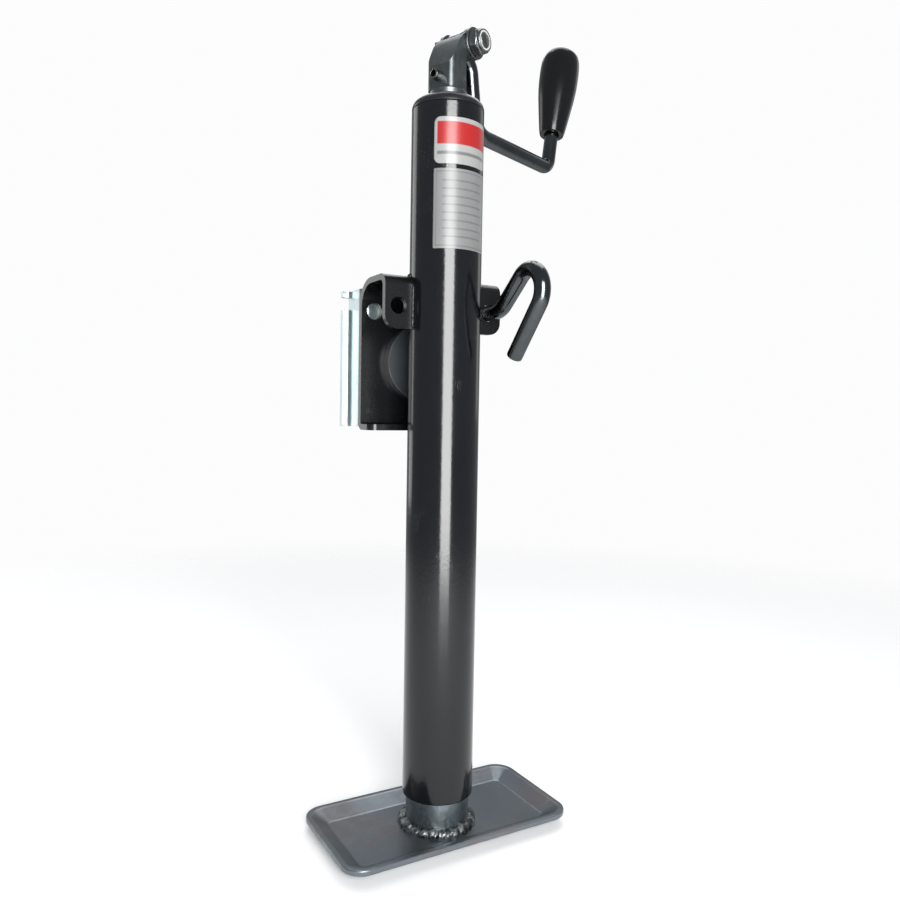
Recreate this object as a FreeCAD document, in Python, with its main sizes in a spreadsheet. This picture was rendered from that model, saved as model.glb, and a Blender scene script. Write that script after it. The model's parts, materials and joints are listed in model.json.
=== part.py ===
import FreeCAD, Part
import Sketcher
import math
import os

# Swivel trailer tongue jack with a top-wind folding crank. Millimetres, +Z up.
# The origin is under the tube's axis, on the ground plane that the foot stands on.
# +X runs along the foot's long side, and +Y points back to the trailer frame.

doc = FreeCAD.newDocument("tongue_jack")
sheet = doc.addObject("Spreadsheet::Sheet", "Dims")

# Every driving dimension: alias, value, what it is
driving = [
    ("tube_od", 57.15, "outer tube diameter"),
    ("tube_wall", 2.5, "outer tube wall"),
    ("tube_base", 29.8, "lower end of the outer tube"),
    ("tube_top", 575.0, "upper end of the straight outer tube"),
    ("cap_top", 583.0, "top of the pressed cap"),
    ("cap_edge", 8.0, "edge radius of the cap"),
    ("cap_bore", 24.0, "hole in the cap for the bush"),
    ("cap_plate", 4.0, "thickness of the cap's top"),
    ("skirt_depth", 6.0, "how far the cap's skirt enters the tube"),
    ("skirt_wall", 3.0, "wall of the cap's skirt"),
    ("ram_od", 51.4, "inner ram diameter"),
    ("ram_wall", 3.0, "inner ram wall"),
    ("ram_top", 508.0, "upper end of the retracted ram"),
    ("travel", 381.0, "lift of the jack"),
    ("slot_width", 11.0, "key slot in the ram"),
    ("key_od", 10.0, "guide key diameter"),
    ("key_height", 60.0, "height of the guide key"),
    ("key_depth", 5.6, "length of the guide key"),
    ("foot_length", 197.5, "foot plate, along X"),
    ("foot_width", 104.8, "foot plate, along Y"),
    ("foot_thick", 4.5, "foot plate thickness"),
    ("foot_height", 12.0, "height of the foot's raised rim"),
    ("foot_inset", 12.0, "width of the foot's sloping rim"),
    ("foot_lip", 4.0, "width of the foot's flat outer lip"),
    ("foot_corner", 17.0, "corner radius of the foot"),
    ("weld_leg", 6.0, "leg of the weld round the ram"),
    ("screw_od", 19.05, "lead screw diameter"),
    ("screw_base", 84.0, "lower end of the lead screw"),
    ("screw_top", 606.0, "upper end of the lead screw"),
    ("screw_neck_od", 12.0, "turned-down lower end of the screw"),
    ("neck_top", 92.0, "shoulder of the turned-down end"),
    ("nut_height", 28.0, "drive nut inside the ram"),
    ("nut_flange", 4.0, "flange of the drive nut"),
    ("nut_pin_od", 6.0, "dowels that hold the drive nut"),
    ("nut_pin_height", 494.0, "height of the dowels"),
    ("nut_pin_inner", 15.0, "inner end of a dowel, from the axis"),
    ("shaft_gap", 0.075, "radial running clearance on the screw"),
    ("fit_gap", 0.05, "clearance between parts fixed together"),
    ("move_gap", 0.35, "clearance between faces that pass each other"),
    ("race_od", 36.0, "thrust race diameter"),
    ("race_thick", 2.5, "thrust race thickness"),
    ("ball_od", 6.35, "thrust balls"),
    ("ball_pitch", 28.0, "pitch circle of the thrust balls"),
    ("cage_thick", 1.6, "thickness of the ball cage"),
    ("shoulder_od", 34.0, "collar on the screw under the bearing"),
    ("shoulder_height", 7.0, "height of that collar"),
    ("top_collar_od", 30.0, "ring between the cap and the crank clevis"),
    ("clevis_base", 590.0, "lower end of the crank clevis"),
    ("clevis_turn", 24.0, "angle of the crank's plane from +X, degrees"),
    ("clevis_back", 13.0, "clevis back face, from the tube's axis"),
    ("clevis_thick", 3.2, "clevis sheet thickness"),
    ("clevis_width", 25.6, "width over the clevis's ears"),
    ("clevis_front", 6.0, "front edge of the ears below the pivot"),
    ("cross_pin_od", 8.0, "spring pin through clevis and screw"),
    ("cross_pin_height", 599.0, "height of the spring pin"),
    ("pivot_out", 15.5, "crank pivot, from the tube's axis"),
    ("pivot_height", 631.0, "height of the crank pivot"),
    ("pivot_od", 12.0, "crank pivot bolt"),
    ("pivot_end", 24.5, "end of the pivot bolt, from the crank's plane"),
    ("ear_radius", 12.0, "rounded end of the ears"),
    ("hex_flats", 19.0, "width across flats of bolt and nut"),
    ("head_height", 7.5, "bolt head height"),
    ("nut_thick", 9.2, "pivot nut height"),
    ("washer_od", 24.0, "pivot washer diameter"),
    ("washer_thick", 2.0, "pivot washer thickness"),
    ("rod_od", 12.7, "crank rod and pull pin diameter"),
    ("eye_od", 22.0, "eye of the crank rod"),
    ("eye_side", 0.35, "how far the eye stands out past the rod on each side"),
    ("eye_gap", 0.06, "radial running clearance on the pivot bolt"),
    ("stem_lean", 11.5, "lean of the grip's stem, degrees"),
    ("stem_length", 108.0, "stem, from the corner to its end"),
    ("clip_place", 102.0, "grip clip, from the corner"),
    ("grip_start", 33.0, "lower end of the grip, from the corner"),
    ("grip_end", 118.4, "upper end of the grip, from the corner"),
    ("grip_od", 37.0, "widest diameter of the grip"),
    ("swivel_height", 380.0, "height of the swivel axis"),
    ("plate_thick", 4.8, "plate of both brackets"),
    ("plate_front", 45.2, "front face of the swivel bracket's back plate"),
    ("bracket_width", 105.0, "width of the swivel bracket"),
    ("bracket_base", 323.5, "lower edge of the swivel bracket"),
    ("bracket_top", 445.5, "top of the swivel bracket"),
    ("flange_front", 26.0, "front edge of its lower flange"),
    ("ear_base", 403.5, "lower edge of its front ears"),
    ("ear_corner", 10.0, "corner radius of the ears"),
    ("flange_corner", 7.0, "corner radius of the lower flange"),
    ("top_bend", 22.0, "outer radius of the rear bend"),
    ("front_bend", 9.0, "outer radius of the front bend"),
    ("lock_offset", 41.0, "lock holes from the swivel axis, along X and Z"),
    ("lock_hole", 13.5, "lock hole diameter"),
    ("hub_od", 64.0, "swivel hub disc"),
    ("hub_front", 36.0, "front face of the hub disc"),
    ("saddle_od", 24.0, "saddle between hub and tube"),
    ("spigot_od", 43.9, "spigot of the hub"),
    ("spigot_bore", 32.0, "bore of the spigot"),
    ("spigot_end", 63.0, "rear end of the spigot"),
    ("hub_gap", 0.07, "radial running clearance on the spigot"),
    ("hub_washer_od", 62.0, "washer behind the frame bracket"),
    ("hub_washer_thick", 3.0, "its thickness"),
    ("ring_thick", 1.8, "snap ring thickness"),
    ("ring_depth", 1.5, "depth of the snap ring's groove"),
    ("frame_width", 100.0, "width over the frame bracket's flanges"),
    ("frame_base", 326.0, "lower edge of the frame bracket"),
    ("frame_top", 440.0, "upper edge of the frame bracket"),
    ("frame_rear", 82.0, "rear face of the frame bracket"),
    ("frame_bend", 7.0, "outer radius of its front bends"),
    ("lip_out", 6.0, "width of the welding lips"),
    ("lip_top", 424.5, "upper end of the long welding lip"),
    ("drill_run", 5.5, "how far the lock holes are drilled on past the web"),
    ("tab_height", 5.0, "height of the small upper tab"),
    ("pin_tip", 49.8, "inner end of the pull pin at rest"),
    ("pin_clip_place", 23.0, "retaining clip on the pull pin"),
    ("clip_thick", 1.4, "thickness of the small clips"),
]
for row, (alias, value, meaning) in enumerate(driving, start=1):
    sheet.set("A%d" % row, meaning)
    sheet.set("B%d" % row, str(value))
    sheet.setAlias("B%d" % row, alias)
doc.recompute()


class Dim:
    """A length that is known as a number and as an expression on the sheet."""

    def __init__(self, value, text):
        self.value, self.text = float(value), text

    def __add__(self, other):
        other = as_dim(other)
        return Dim(self.value + other.value, "(%s + %s)" % (self.text, other.text))

    def __sub__(self, other):
        other = as_dim(other)
        return Dim(self.value - other.value, "(%s - %s)" % (self.text, other.text))

    def __mul__(self, other):
        other = as_dim(other)
        return Dim(self.value * other.value, "(%s * %s)" % (self.text, other.text))

    def __truediv__(self, other):
        other = as_dim(other)
        return Dim(self.value / other.value, "(%s / %s)" % (self.text, other.text))

    def __neg__(self):
        return Dim(-self.value, "(0 - %s)" % self.text)

    def __radd__(self, other):
        return as_dim(other) + self

    def __rsub__(self, other):
        return as_dim(other) - self

    def __rmul__(self, other):
        return as_dim(other) * self


def as_dim(length):
    return length if isinstance(length, Dim) else Dim(length, repr(float(length)))


def size(alias):
    return Dim(sheet.get(alias), "Dims." + alias)


nodes = []        # the objects that are written out, one file each
cuts = []         # every feature that has to take material away


def keep(obj):
    nodes.append(obj)
    return obj


# ---- Sketches and features inside a body ----

def new_body(label):
    body = doc.addObject("PartDesign::Body", label)
    body.Label = label
    return keep(body)


def new_sketch(body, plane, offset):
    """A sketch on one of the body's own origin planes, moved along that plane's normal."""
    sketch = body.newObject("Sketcher::SketchObject", body.Label + "_sketch")
    role = plane + "_Plane"
    sketch.AttachmentSupport = [(f, "") for f in body.Origin.OriginFeatures if f.Role == role]
    sketch.MapMode = "FlatFace"
    sketch.AttachmentOffset = FreeCAD.Placement(FreeCAD.Vector(0, 0, offset.value), FreeCAD.Rotation())
    sketch.setExpression("AttachmentOffset.Base.z", offset.text)
    return sketch


def hold(sketch, kind, geometry, point, length):
    """Ties one coordinate of a point, or a radius, to an expression."""
    if kind == "Radius":
        index = sketch.addConstraint(Sketcher.Constraint(kind, geometry, length.value))
    else:
        index = sketch.addConstraint(Sketcher.Constraint(kind, -1, 1, geometry, point, length.value))
    sketch.setExpression("Constraints[%d]" % index, length.text)


def draw_outline(sketch, points):
    """A closed outline of straight lines through points of sheet dimensions."""
    points = [(as_dim(a), as_dim(b)) for a, b in points]
    flat = [FreeCAD.Vector(a.value, b.value, 0) for a, b in points]
    lines = [sketch.addGeometry(Part.LineSegment(a, b)) for a, b in zip(flat, flat[1:] + flat[:1])]
    for line, after in zip(lines, lines[1:] + lines[:1]):
        sketch.addConstraint(Sketcher.Constraint("Coincident", line, 2, after, 1))
    for line, (a, b) in zip(lines, points):
        hold(sketch, "DistanceX", line, 1, a)
        hold(sketch, "DistanceY", line, 1, b)


def draw_circle(sketch, across, up, radius):
    across, up, radius = as_dim(across), as_dim(up), as_dim(radius)
    centre = FreeCAD.Vector(across.value, up.value, 0)
    circle = sketch.addGeometry(Part.Circle(centre, FreeCAD.Vector(0, 0, 1), radius.value))
    hold(sketch, "DistanceX", circle, 3, across)
    hold(sketch, "DistanceY", circle, 3, up)
    hold(sketch, "Radius", circle, 3, radius)


def extrude(body, kind, plane, low, high, outline=(), circles=(), taper=0):
    """A pad or pocket between two heights along the plane's row axis.

    The XZ plane's normal is -Y, so its sketch sits at the other end of the span."""
    low, high = as_dim(low), as_dim(high)
    at_high = (kind == "Pocket") != (plane == "XZ")
    start = high if at_high else low
    sketch = new_sketch(body, plane, -start if plane == "XZ" else start)
    if outline:
        draw_outline(sketch, outline)
    for across, up, radius in circles:
        draw_circle(sketch, across, up, radius)
    feature = body.newObject("PartDesign::" + kind, body.Label + "_" + kind.lower())
    feature.Profile = sketch
    feature.Length = (high - low).value
    feature.setExpression("Length", (high - low).text)
    feature.TaperAngle = taper
    body.Tip = feature
    if kind == "Pocket":
        cuts.append(feature)
    return feature


def pad(body, plane, low, high, **drawn):
    return extrude(body, "Pad", plane, low, high, **drawn)


def pocket(body, plane, low, high, **drawn):
    return extrude(body, "Pocket", plane, low, high, **drawn)


def turned(label, outline):
    """A body of revolution about Z, from an outline of (radius, height)."""
    body = new_body(label)
    sketch = new_sketch(body, "XZ", as_dim(0))
    draw_outline(sketch, outline)
    feature = body.newObject("PartDesign::Revolution", label + "_revolution")
    feature.Profile = sketch
    feature.ReferenceAxis = (sketch, ["V_Axis"])
    feature.Angle = 360
    body.Tip = feature
    return body


def ring(label, outer, inner, low, high):
    return turned(label, [(inner, low), (outer, low), (outer, high), (inner, high)])


def round_edges(body, radius, wanted):
    """Fillets the edges of the body's tip whose ends pass the test."""
    doc.recompute()
    base = body.Tip
    names = []
    for number, edge in enumerate(base.Shape.Edges, start=1):
        if len(edge.Vertexes) == 2 and wanted(edge.Vertexes[0].Point, edge.Vertexes[1].Point):
            names.append("Edge%d" % number)
    if not names:
        raise ValueError("no edge to round on " + body.Label)
    fillet = body.newObject("PartDesign::Fillet", body.Label + "_fillet")
    fillet.Base = (base, names)
    fillet.Radius = radius.value
    fillet.setExpression("Radius", radius.text)
    body.Tip = fillet


def corner_edge(axis, *places):
    """True for edges along one axis that pass through one of the places, given on the other two."""
    others = [i for i in range(3) if i != axis]

    def wanted(first, last):
        if any(abs(first[i] - last[i]) > 1e-4 for i in others):
            return False
        return any(all(abs(first[i] - place[n].value) < 1e-3 for n, i in enumerate(others))
                   for place in places)
    return wanted


# ---- Rods bent from round bar ----

def bent_bar(label, start, heading, moves):
    """A round bar swept along straight runs and tangent arcs that lie in its own XZ plane.

    Each move is a run's length, or a bend's (radius, turn in degrees), left turns positive.
    Returns the bar, the path's end and the direction it ends in."""
    path = doc.addObject("Sketcher::SketchObject", label + "_path")
    here, angle = FreeCAD.Vector(start[0].value, start[1].value, 0), math.radians(heading)
    for move in moves:
        along = FreeCAD.Vector(math.cos(angle), math.sin(angle), 0)
        if isinstance(move, tuple):
            radius, turn = move
            side = math.copysign(1, turn)
            left = FreeCAD.Vector(-along.y, along.x, 0)
            centre = here + left * (radius * side)
            middle = angle + math.radians(turn) / 2
            outward = FreeCAD.Vector(math.sin(middle), -math.cos(middle), 0) * (radius * side)
            angle += math.radians(turn)
            finish = FreeCAD.Vector(math.sin(angle), -math.cos(angle), 0) * (radius * side)
            path.addGeometry(Part.Arc(here, centre + outward, centre + finish))
            here = centre + finish
        else:
            path.addGeometry(Part.LineSegment(here, here + along * move))
            here = here + along * move
    stand_up = FreeCAD.Rotation(FreeCAD.Vector(1, 0, 0), 90)
    path.Placement = FreeCAD.Placement(FreeCAD.Vector(), stand_up)
    section = doc.addObject("Part::Circle", label + "_section")
    section.Radius = (size("rod_od") / 2).value
    section.setExpression("Radius", (size("rod_od") / 2).text)
    first = math.radians(heading)
    direction = FreeCAD.Vector(math.cos(first), 0, math.sin(first))
    section.Placement = FreeCAD.Placement(
        FreeCAD.Vector(start[0].value, 0, start[1].value),
        FreeCAD.Rotation(FreeCAD.Vector(0, 0, 1), direction))
    doc.recompute()
    sweep = doc.addObject("Part::Sweep", label + "_bar")
    sweep.Sections = [section]
    sweep.Spine = (path, ["Edge%d" % n for n in range(1, len(moves) + 1)])
    sweep.Solid = True
    sweep.Frenet = False
    ends = stand_up.multVec(here)
    direction = stand_up.multVec(FreeCAD.Vector(math.cos(angle), math.sin(angle), 0))
    return sweep, ends, direction


def cylinder(name, radius, length, place):
    """A plain cylinder about its own Z, used whole or as a tool in a boolean."""
    solid = doc.addObject("Part::Cylinder", name)
    radius, length = as_dim(radius), as_dim(length)
    solid.setExpression("Radius", radius.text)
    solid.setExpression("Height", length.text)
    solid.Placement = place
    return solid


def place_along(point, axis):
    """A placement whose Z runs along the axis."""
    return FreeCAD.Placement(FreeCAD.Vector(*point), FreeCAD.Rotation(FreeCAD.Vector(0, 0, 1),
                                                                      FreeCAD.Vector(*axis)))


def boolean(kind, label, base, tool):
    result = doc.addObject("Part::" + kind, label)
    result.Label = label
    if kind == "Cut":
        result.Base, result.Tool = base, tool
        cuts.append(result)
    else:
        result.Shapes = [base, tool]
    return result


# Half sizes and radii that several pieces share
tube_r = size("tube_od") / 2
bore_r = tube_r - size("tube_wall")
ram_r = size("ram_od") / 2
ram_inner = ram_r - size("ram_wall")
screw_r = size("screw_od") / 2
screw_bore = screw_r + size("shaft_gap")
fit = size("fit_gap")
gap = size("move_gap")
rod_r = size("rod_od") / 2
half_ears = size("clevis_width") / 2
inner_ears = half_ears - size("clevis_thick")
swivel_z = size("swivel_height")
plate = size("plate_thick")
plate_rear = size("plate_front") + plate

# ---- Outer tube, cap and bush ----

tube = ring("outer_tube", tube_r, bore_r, size("tube_base"), size("tube_top"))
pocket(tube, "XZ", 0, 40, circles=[(0, size("key_height"), size("key_od") / 2 + fit)])

skirt_r = bore_r - fit
cap = turned("top_cap", [
    (size("cap_bore") / 2, size("cap_top") - size("cap_plate")),
    (skirt_r - size("skirt_wall"), size("cap_top") - size("cap_plate")),
    (skirt_r - size("skirt_wall"), size("tube_top") - size("skirt_depth")),
    (skirt_r, size("tube_top") - size("skirt_depth")),
    (skirt_r, size("tube_top")),
    (tube_r, size("tube_top")),
    (tube_r, size("cap_top")),
    (size("cap_bore") / 2, size("cap_top")),
])


doc.recompute()
cap_turned = cap.Tip
rim = ["Edge%d" % n for n, e in enumerate(cap_turned.Shape.Edges, start=1)
       if len(e.Vertexes) == 1 and abs(e.Vertexes[0].Z - size("cap_top").value) < 1e-3
       and abs(e.Curve.Radius - tube_r.value) < 1e-3]
dome = cap.newObject("PartDesign::Fillet", "top_cap_fillet")
dome.Base = (cap_turned, rim)
dome.setExpression("Radius", (size("cap_edge") - 0.2).text)
cap.Tip = dome

ring("screw_bush", size("cap_bore") / 2 - fit, screw_bore,
     size("cap_top") - size("cap_plate"), size("cap_top"))

key = new_body("guide_key")
pad(key, "XZ", bore_r - size("key_depth") + size("tube_wall"), tube_r - 0.2,
    circles=[(0, size("key_height"), size("key_od") / 2)])

# ---- Thrust bearing under the cap ----

upper_race_top = size("cap_top") - size("cap_plate") - fit
upper_race_base = upper_race_top - size("race_thick")
ball_z = upper_race_base - size("ball_od") / 2 - fit
lower_race_top = ball_z - size("ball_od") / 2 - fit
lower_race_base = lower_race_top - size("race_thick")
shoulder_top = lower_race_base - fit
ring("bearing_race_upper", size("race_od") / 2, screw_bore + 1, upper_race_base, upper_race_top)
ring("bearing_race_lower", size("race_od") / 2, screw_r + fit, lower_race_base, lower_race_top)

ball_count = 12
pitch_r = size("ball_pitch") / 2
cage = ring("bearing_cage", pitch_r + 4.2, pitch_r - 4, ball_z - size("cage_thick") / 2,
            ball_z + size("cage_thick") / 2)
pocket(cage, "XY", ball_z - size("cage_thick"), ball_z + size("cage_thick"),
       circles=[(pitch_r * math.cos(2 * math.pi * n / ball_count),
                 pitch_r * math.sin(2 * math.pi * n / ball_count),
                 size("ball_od") / 2 + fit * 2) for n in range(ball_count)])

balls = []
for n in range(ball_count):
    turn = 2 * math.pi * n / ball_count
    ball = doc.addObject("Part::Sphere", "ball_%d" % n)
    ball.setExpression("Radius", (size("ball_od") / 2).text)
    ball.Placement.Base = FreeCAD.Vector(pitch_r.value * math.cos(turn),
                                         pitch_r.value * math.sin(turn), ball_z.value)
    balls.append(ball)
ball_set = doc.addObject("Part::Compound", "bearing_balls")
ball_set.Links = balls
keep(ball_set)

# ---- Lead screw and what is fixed to it ----

pin_hole_r = size("cross_pin_od") / 2 + fit
screw_placement = FreeCAD.Placement(
    FreeCAD.Vector(), FreeCAD.Rotation(FreeCAD.Vector(0, 0, 1), size("clevis_turn").value))
neck_r = size("screw_neck_od") / 2
clip_base = size("screw_base") + 2
clip_top = clip_base + size("clip_thick")
groove_r = neck_r - 1
chamfer = 1.5
screw = turned("lead_screw", [
    (0, size("screw_base")), (neck_r, size("screw_base")), (neck_r, clip_base), (groove_r, clip_base),
    (groove_r, clip_top), (neck_r, clip_top), (neck_r, size("neck_top")), (screw_r, size("neck_top")),
    (screw_r, shoulder_top - size("shoulder_height")),
    (size("shoulder_od") / 2, shoulder_top - size("shoulder_height")),
    (size("shoulder_od") / 2, shoulder_top), (screw_r, shoulder_top),
    (screw_r, size("screw_top") - chamfer), (screw_r - chamfer, size("screw_top")),
    (0, size("screw_top")),
])
pocket(screw, "YZ", -20, 20, circles=[(0, size("cross_pin_height"), pin_hole_r)])
screw.Placement = screw_placement

end_washer_base = clip_top + fit
ring("screw_end_washer", 20, neck_r + fit, end_washer_base, size("neck_top") - fit)
ring("screw_end_clip", neck_r + 2, groove_r + fit, clip_base + fit / 2, clip_top - fit / 2)
ring("top_collar", size("top_collar_od") / 2, screw_r + fit, size("cap_top") + gap,
     size("clevis_base") - fit)

# Crank clevis: a channel of sheet whose back leans in over the screw. Its own X is the
# crank's direction, and its ears stand at plus and minus half its width along its own Y.
clevis = new_body("handle_bracket")
back = -size("clevis_back")
base = size("clevis_base")
px, pz = size("pivot_out"), size("pivot_height")
pad(clevis, "XZ", -half_ears, half_ears, outline=[
    (back, base), (size("clevis_front"), base), (size("clevis_front"), pz - 13),
    (px, pz - size("ear_radius")), (px, pz + size("ear_radius")),
    (px - 14.5, pz + 2.5), (px - 19.5, pz - 4), (back, pz - 23)])
pad(clevis, "XZ", -half_ears, half_ears, circles=[(px, pz, size("ear_radius"))])
sheet_t = size("clevis_thick")
pocket(clevis, "XZ", -inner_ears, inner_ears, outline=[
    (back + sheet_t, base - 10), (px + 30, base - 10), (px + 30, pz + 30), (px - 14.5, pz + 30),
    (px - 14.5, pz + 2.5), (px - 12, pz - 1), (px - 16.7, pz - 5.7),
    (back + sheet_t, pz - 23.8)])
round_edges(clevis, sheet_t + 2, lambda a, b: abs(a.x - back.value) < 1e-3 and abs(b.x - back.value) < 1e-3
            and abs(abs(a.y) - half_ears.value) < 1e-3 and abs(a.y - b.y) < 1e-4)
round_edges(clevis, size("clevis_thick") + 1.8, corner_edge(1, (size("clevis_front"), base)))
pocket(clevis, "XZ", -half_ears - 5, half_ears + 5, circles=[(px, pz, size("pivot_od") / 2 + fit * 3)])
pocket(clevis, "YZ", back - 10, 0, circles=[(0, size("cross_pin_height"), pin_hole_r)])
clevis.Placement = screw_placement

# Spring pin through the clevis's back and the screw, split along its length
spring_pin = new_body("cross_pin")
pin_r = size("cross_pin_od") / 2
pad(spring_pin, "YZ", back - 7, screw_r + 0.5,
    circles=[(0, size("cross_pin_height"), pin_r), (0, size("cross_pin_height"), pin_r - 1.5)])
pocket(spring_pin, "XY", size("cross_pin_height"), size("cross_pin_height") + pin_r + 2,
       outline=[(back - 8, -0.5), (screw_r + 2, -0.5), (screw_r + 2, 0.5), (back - 8, 0.5)])
spring_pin.Placement = screw_placement

# ---- Crank pivot: its pieces lie along the ears' normal, so they are made about Z and turned ----

pivot_point = screw_placement.multVec(FreeCAD.Vector(px.value, 0, pz.value))
far_side = screw_placement.Rotation.multVec(FreeCAD.Vector(0, 1, 0))
pivot_placement = place_along(pivot_point, far_side)


def hexagon(flats):
    """Corners of a hexagon, from its width across flats."""
    radius = flats / (2 * math.cos(math.pi / 6))
    return [(radius * math.cos(math.radians(60 * n)), radius * math.sin(math.radians(60 * n)))
            for n in range(6)]


bolt = new_body("pivot_bolt")
pad(bolt, "XY", half_ears, half_ears + size("head_height"), outline=hexagon(size("hex_flats")))
pad(bolt, "XY", -size("pivot_end"), half_ears + 1, circles=[(0, 0, size("pivot_od") / 2)])
bolt.Placement = pivot_placement

washer = ring("pivot_washer", size("washer_od") / 2, size("pivot_od") / 2 + fit * 3,
              -half_ears - size("washer_thick"), -half_ears)
washer.Placement = pivot_placement

nut_face = -half_ears - size("washer_thick") - fit
pivot_nut = new_body("pivot_nut")
collar_height = 2.6
pad(pivot_nut, "XY", nut_face - size("nut_thick") + collar_height, nut_face,
    outline=hexagon(size("hex_flats")))
pad(pivot_nut, "XY", nut_face - size("nut_thick"), nut_face - size("nut_thick") + collar_height + 0.5,
    circles=[(0, 0, size("hex_flats") / 2 - 1)])
pocket(pivot_nut, "XY", nut_face - size("nut_thick") - 2, nut_face + 2,
       circles=[(0, 0, size("pivot_od") / 2 + fit)])
pivot_nut.Placement = pivot_placement

spacers = []
eye_half = rod_r + size("eye_side")
for side in (-1, 1):
    low, high = sorted((side * (eye_half + fit * 2).value, side * (inner_ears - fit).value))
    tube_piece = cylinder("spacer_out_%d" % side, 9, high - low, pivot_placement)
    hole_piece = cylinder("spacer_hole_%d" % side, size("pivot_od") / 2 + fit * 2, high - low, pivot_placement)
    for piece in (tube_piece, hole_piece):
        piece.Placement = pivot_placement.multiply(FreeCAD.Placement(FreeCAD.Vector(0, 0, low),
                                                                     FreeCAD.Rotation()))
    spacers.append(boolean("Cut", "spacer_%d" % side, tube_piece, hole_piece))
spacer_pair = doc.addObject("Part::Compound", "pivot_spacers")
spacer_pair.Links = spacers
keep(spacer_pair)

# ---- Crank rod, clip and grip ----

drop_heading, run_heading = -41.6, 1.3
stem_heading = 90 - size("stem_lean").value
last_bend = (10, stem_heading - run_heading)
stem_run = size("stem_length").value - last_bend[0] * math.tan(math.radians(last_bend[1]) / 2)
rod, stem_end, stem_axis = bent_bar("crank_rod", (px, pz), drop_heading, [
    13.2, (14, -38.4), 31.1, (16, run_heading - drop_heading + 38.4), 99.1, last_bend, stem_run])
corner = stem_end - stem_axis * size("stem_length").value
eye = cylinder("crank_eye", size("eye_od") / 2, eye_half * 2,
               place_along((px.value, -eye_half.value, pz.value), (0, 1, 0)))
joined = boolean("MultiFuse", "crank_joined", rod, eye)
eye_hole = cylinder("crank_eye_hole", size("pivot_od") / 2 + size("eye_gap"), eye_half * 2 + 4,
                    place_along((px.value, -eye_half.value - 2, pz.value), (0, 1, 0)))
groove_outer = ring("clip_groove_tool", rod_r + 2, rod_r - 1, size("clip_place"),
                    size("clip_place") + size("clip_thick"))
nodes.remove(groove_outer)
groove_outer.Placement = place_along(corner, stem_axis)
tools = boolean("MultiFuse", "crank_tools", eye_hole, groove_outer)
crank = keep(boolean("Cut", "crank_rod", joined, tools))
crank.Placement = screw_placement

stem_placement = screw_placement.multiply(place_along(corner, stem_axis))
clip = ring("grip_clip", rod_r + 1.6, rod_r - 1 + fit, size("clip_place") + fit / 2,
            size("clip_place") + size("clip_thick") - fit / 2)
clip.Placement = stem_placement

# The grip's outline: how far along it, from 0 to 1, and its radius as a share of the widest
grip_outline = [(0.0, 0.61), (0.06, 0.67), (0.19, 0.765), (0.32, 0.85), (0.44, 0.925), (0.55, 0.975),
                (0.67, 1.0), (0.79, 0.995), (0.89, 0.95), (0.955, 0.8), (0.985, 0.58), (1.0, 0.25)]
grip_span = size("grip_end") - size("grip_start")
grip_bore = rod_r + 0.08
counterbore = rod_r + 2.2
grip = turned("handle_grip", [
    (0, size("stem_length") + 1.5), (counterbore, size("stem_length") + 1.5),
    (counterbore, size("clip_place") - 0.4), (grip_bore, size("clip_place") - 0.4),
    (grip_bore, size("grip_start"))]
    + [(size("grip_od") / 2 * share, size("grip_start") + grip_span * along)
       for along, share in grip_outline]
    + [(0, size("grip_end"))])
grip.Placement = stem_placement

# ---- Inner ram, drive nut and foot ----

ram = ring("inner_ram", ram_r, ram_inner, size("foot_thick"), size("ram_top"))
slot_half = size("slot_width") / 2
slot_base = size("key_height") - slot_half
slot_top = size("key_height") + size("travel") + slot_half + 2
pocket(ram, "XZ", 0, 40, outline=[(-slot_half, slot_base), (slot_half, slot_base),
                                  (slot_half, slot_top), (-slot_half, slot_top)])
pin_turns = [-90, 30, 150]
nut_pin_r = size("nut_pin_od") / 2


def radial_cylinder(name, radius, inner, outer, turn):
    """A cylinder that points out from the tube's axis at the dowels' height."""
    along = FreeCAD.Vector(math.cos(math.radians(turn)), math.sin(math.radians(turn)), 0)
    foot = along * inner.value + FreeCAD.Vector(0, 0, size("nut_pin_height").value)
    return cylinder(name, radius, outer - inner, place_along(foot, along))


def drilled(label, blank):
    """The blank with the three dowel holes through it."""
    nodes.remove(blank)
    blank.Label = label + "_blank"
    holes = [radial_cylinder("%s_hole_%d" % (label, n), nut_pin_r + fit / 2, size("nut_pin_inner") - 0.1,
                             ram_r + 2, turn) for n, turn in enumerate(pin_turns)]
    tool = doc.addObject("Part::MultiFuse", label + "_holes")
    tool.Shapes = holes
    return keep(boolean("Cut", label, blank, tool))


drilled("inner_ram", ram)
nut_base = size("ram_top") - size("nut_height")
nut = turned("drive_nut", [
    (screw_bore, nut_base), (ram_inner - fit, nut_base), (ram_inner - fit, size("ram_top") + fit),
    (ram_r, size("ram_top") + fit), (ram_r, size("ram_top") + size("nut_flange")),
    (screw_bore, size("ram_top") + size("nut_flange"))])
drilled("drive_nut", nut)
dowels = doc.addObject("Part::Compound", "nut_pins")
dowels.Links = [radial_cylinder("nut_pin_%d" % n, nut_pin_r, size("nut_pin_inner"), ram_r - 0.1, turn)
                for n, turn in enumerate(pin_turns)]
keep(dowels)


def rectangle(length, width):
    a, b = length / 2, width / 2
    return [(-a, -b), (a, -b), (a, b), (-a, b)]


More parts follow.
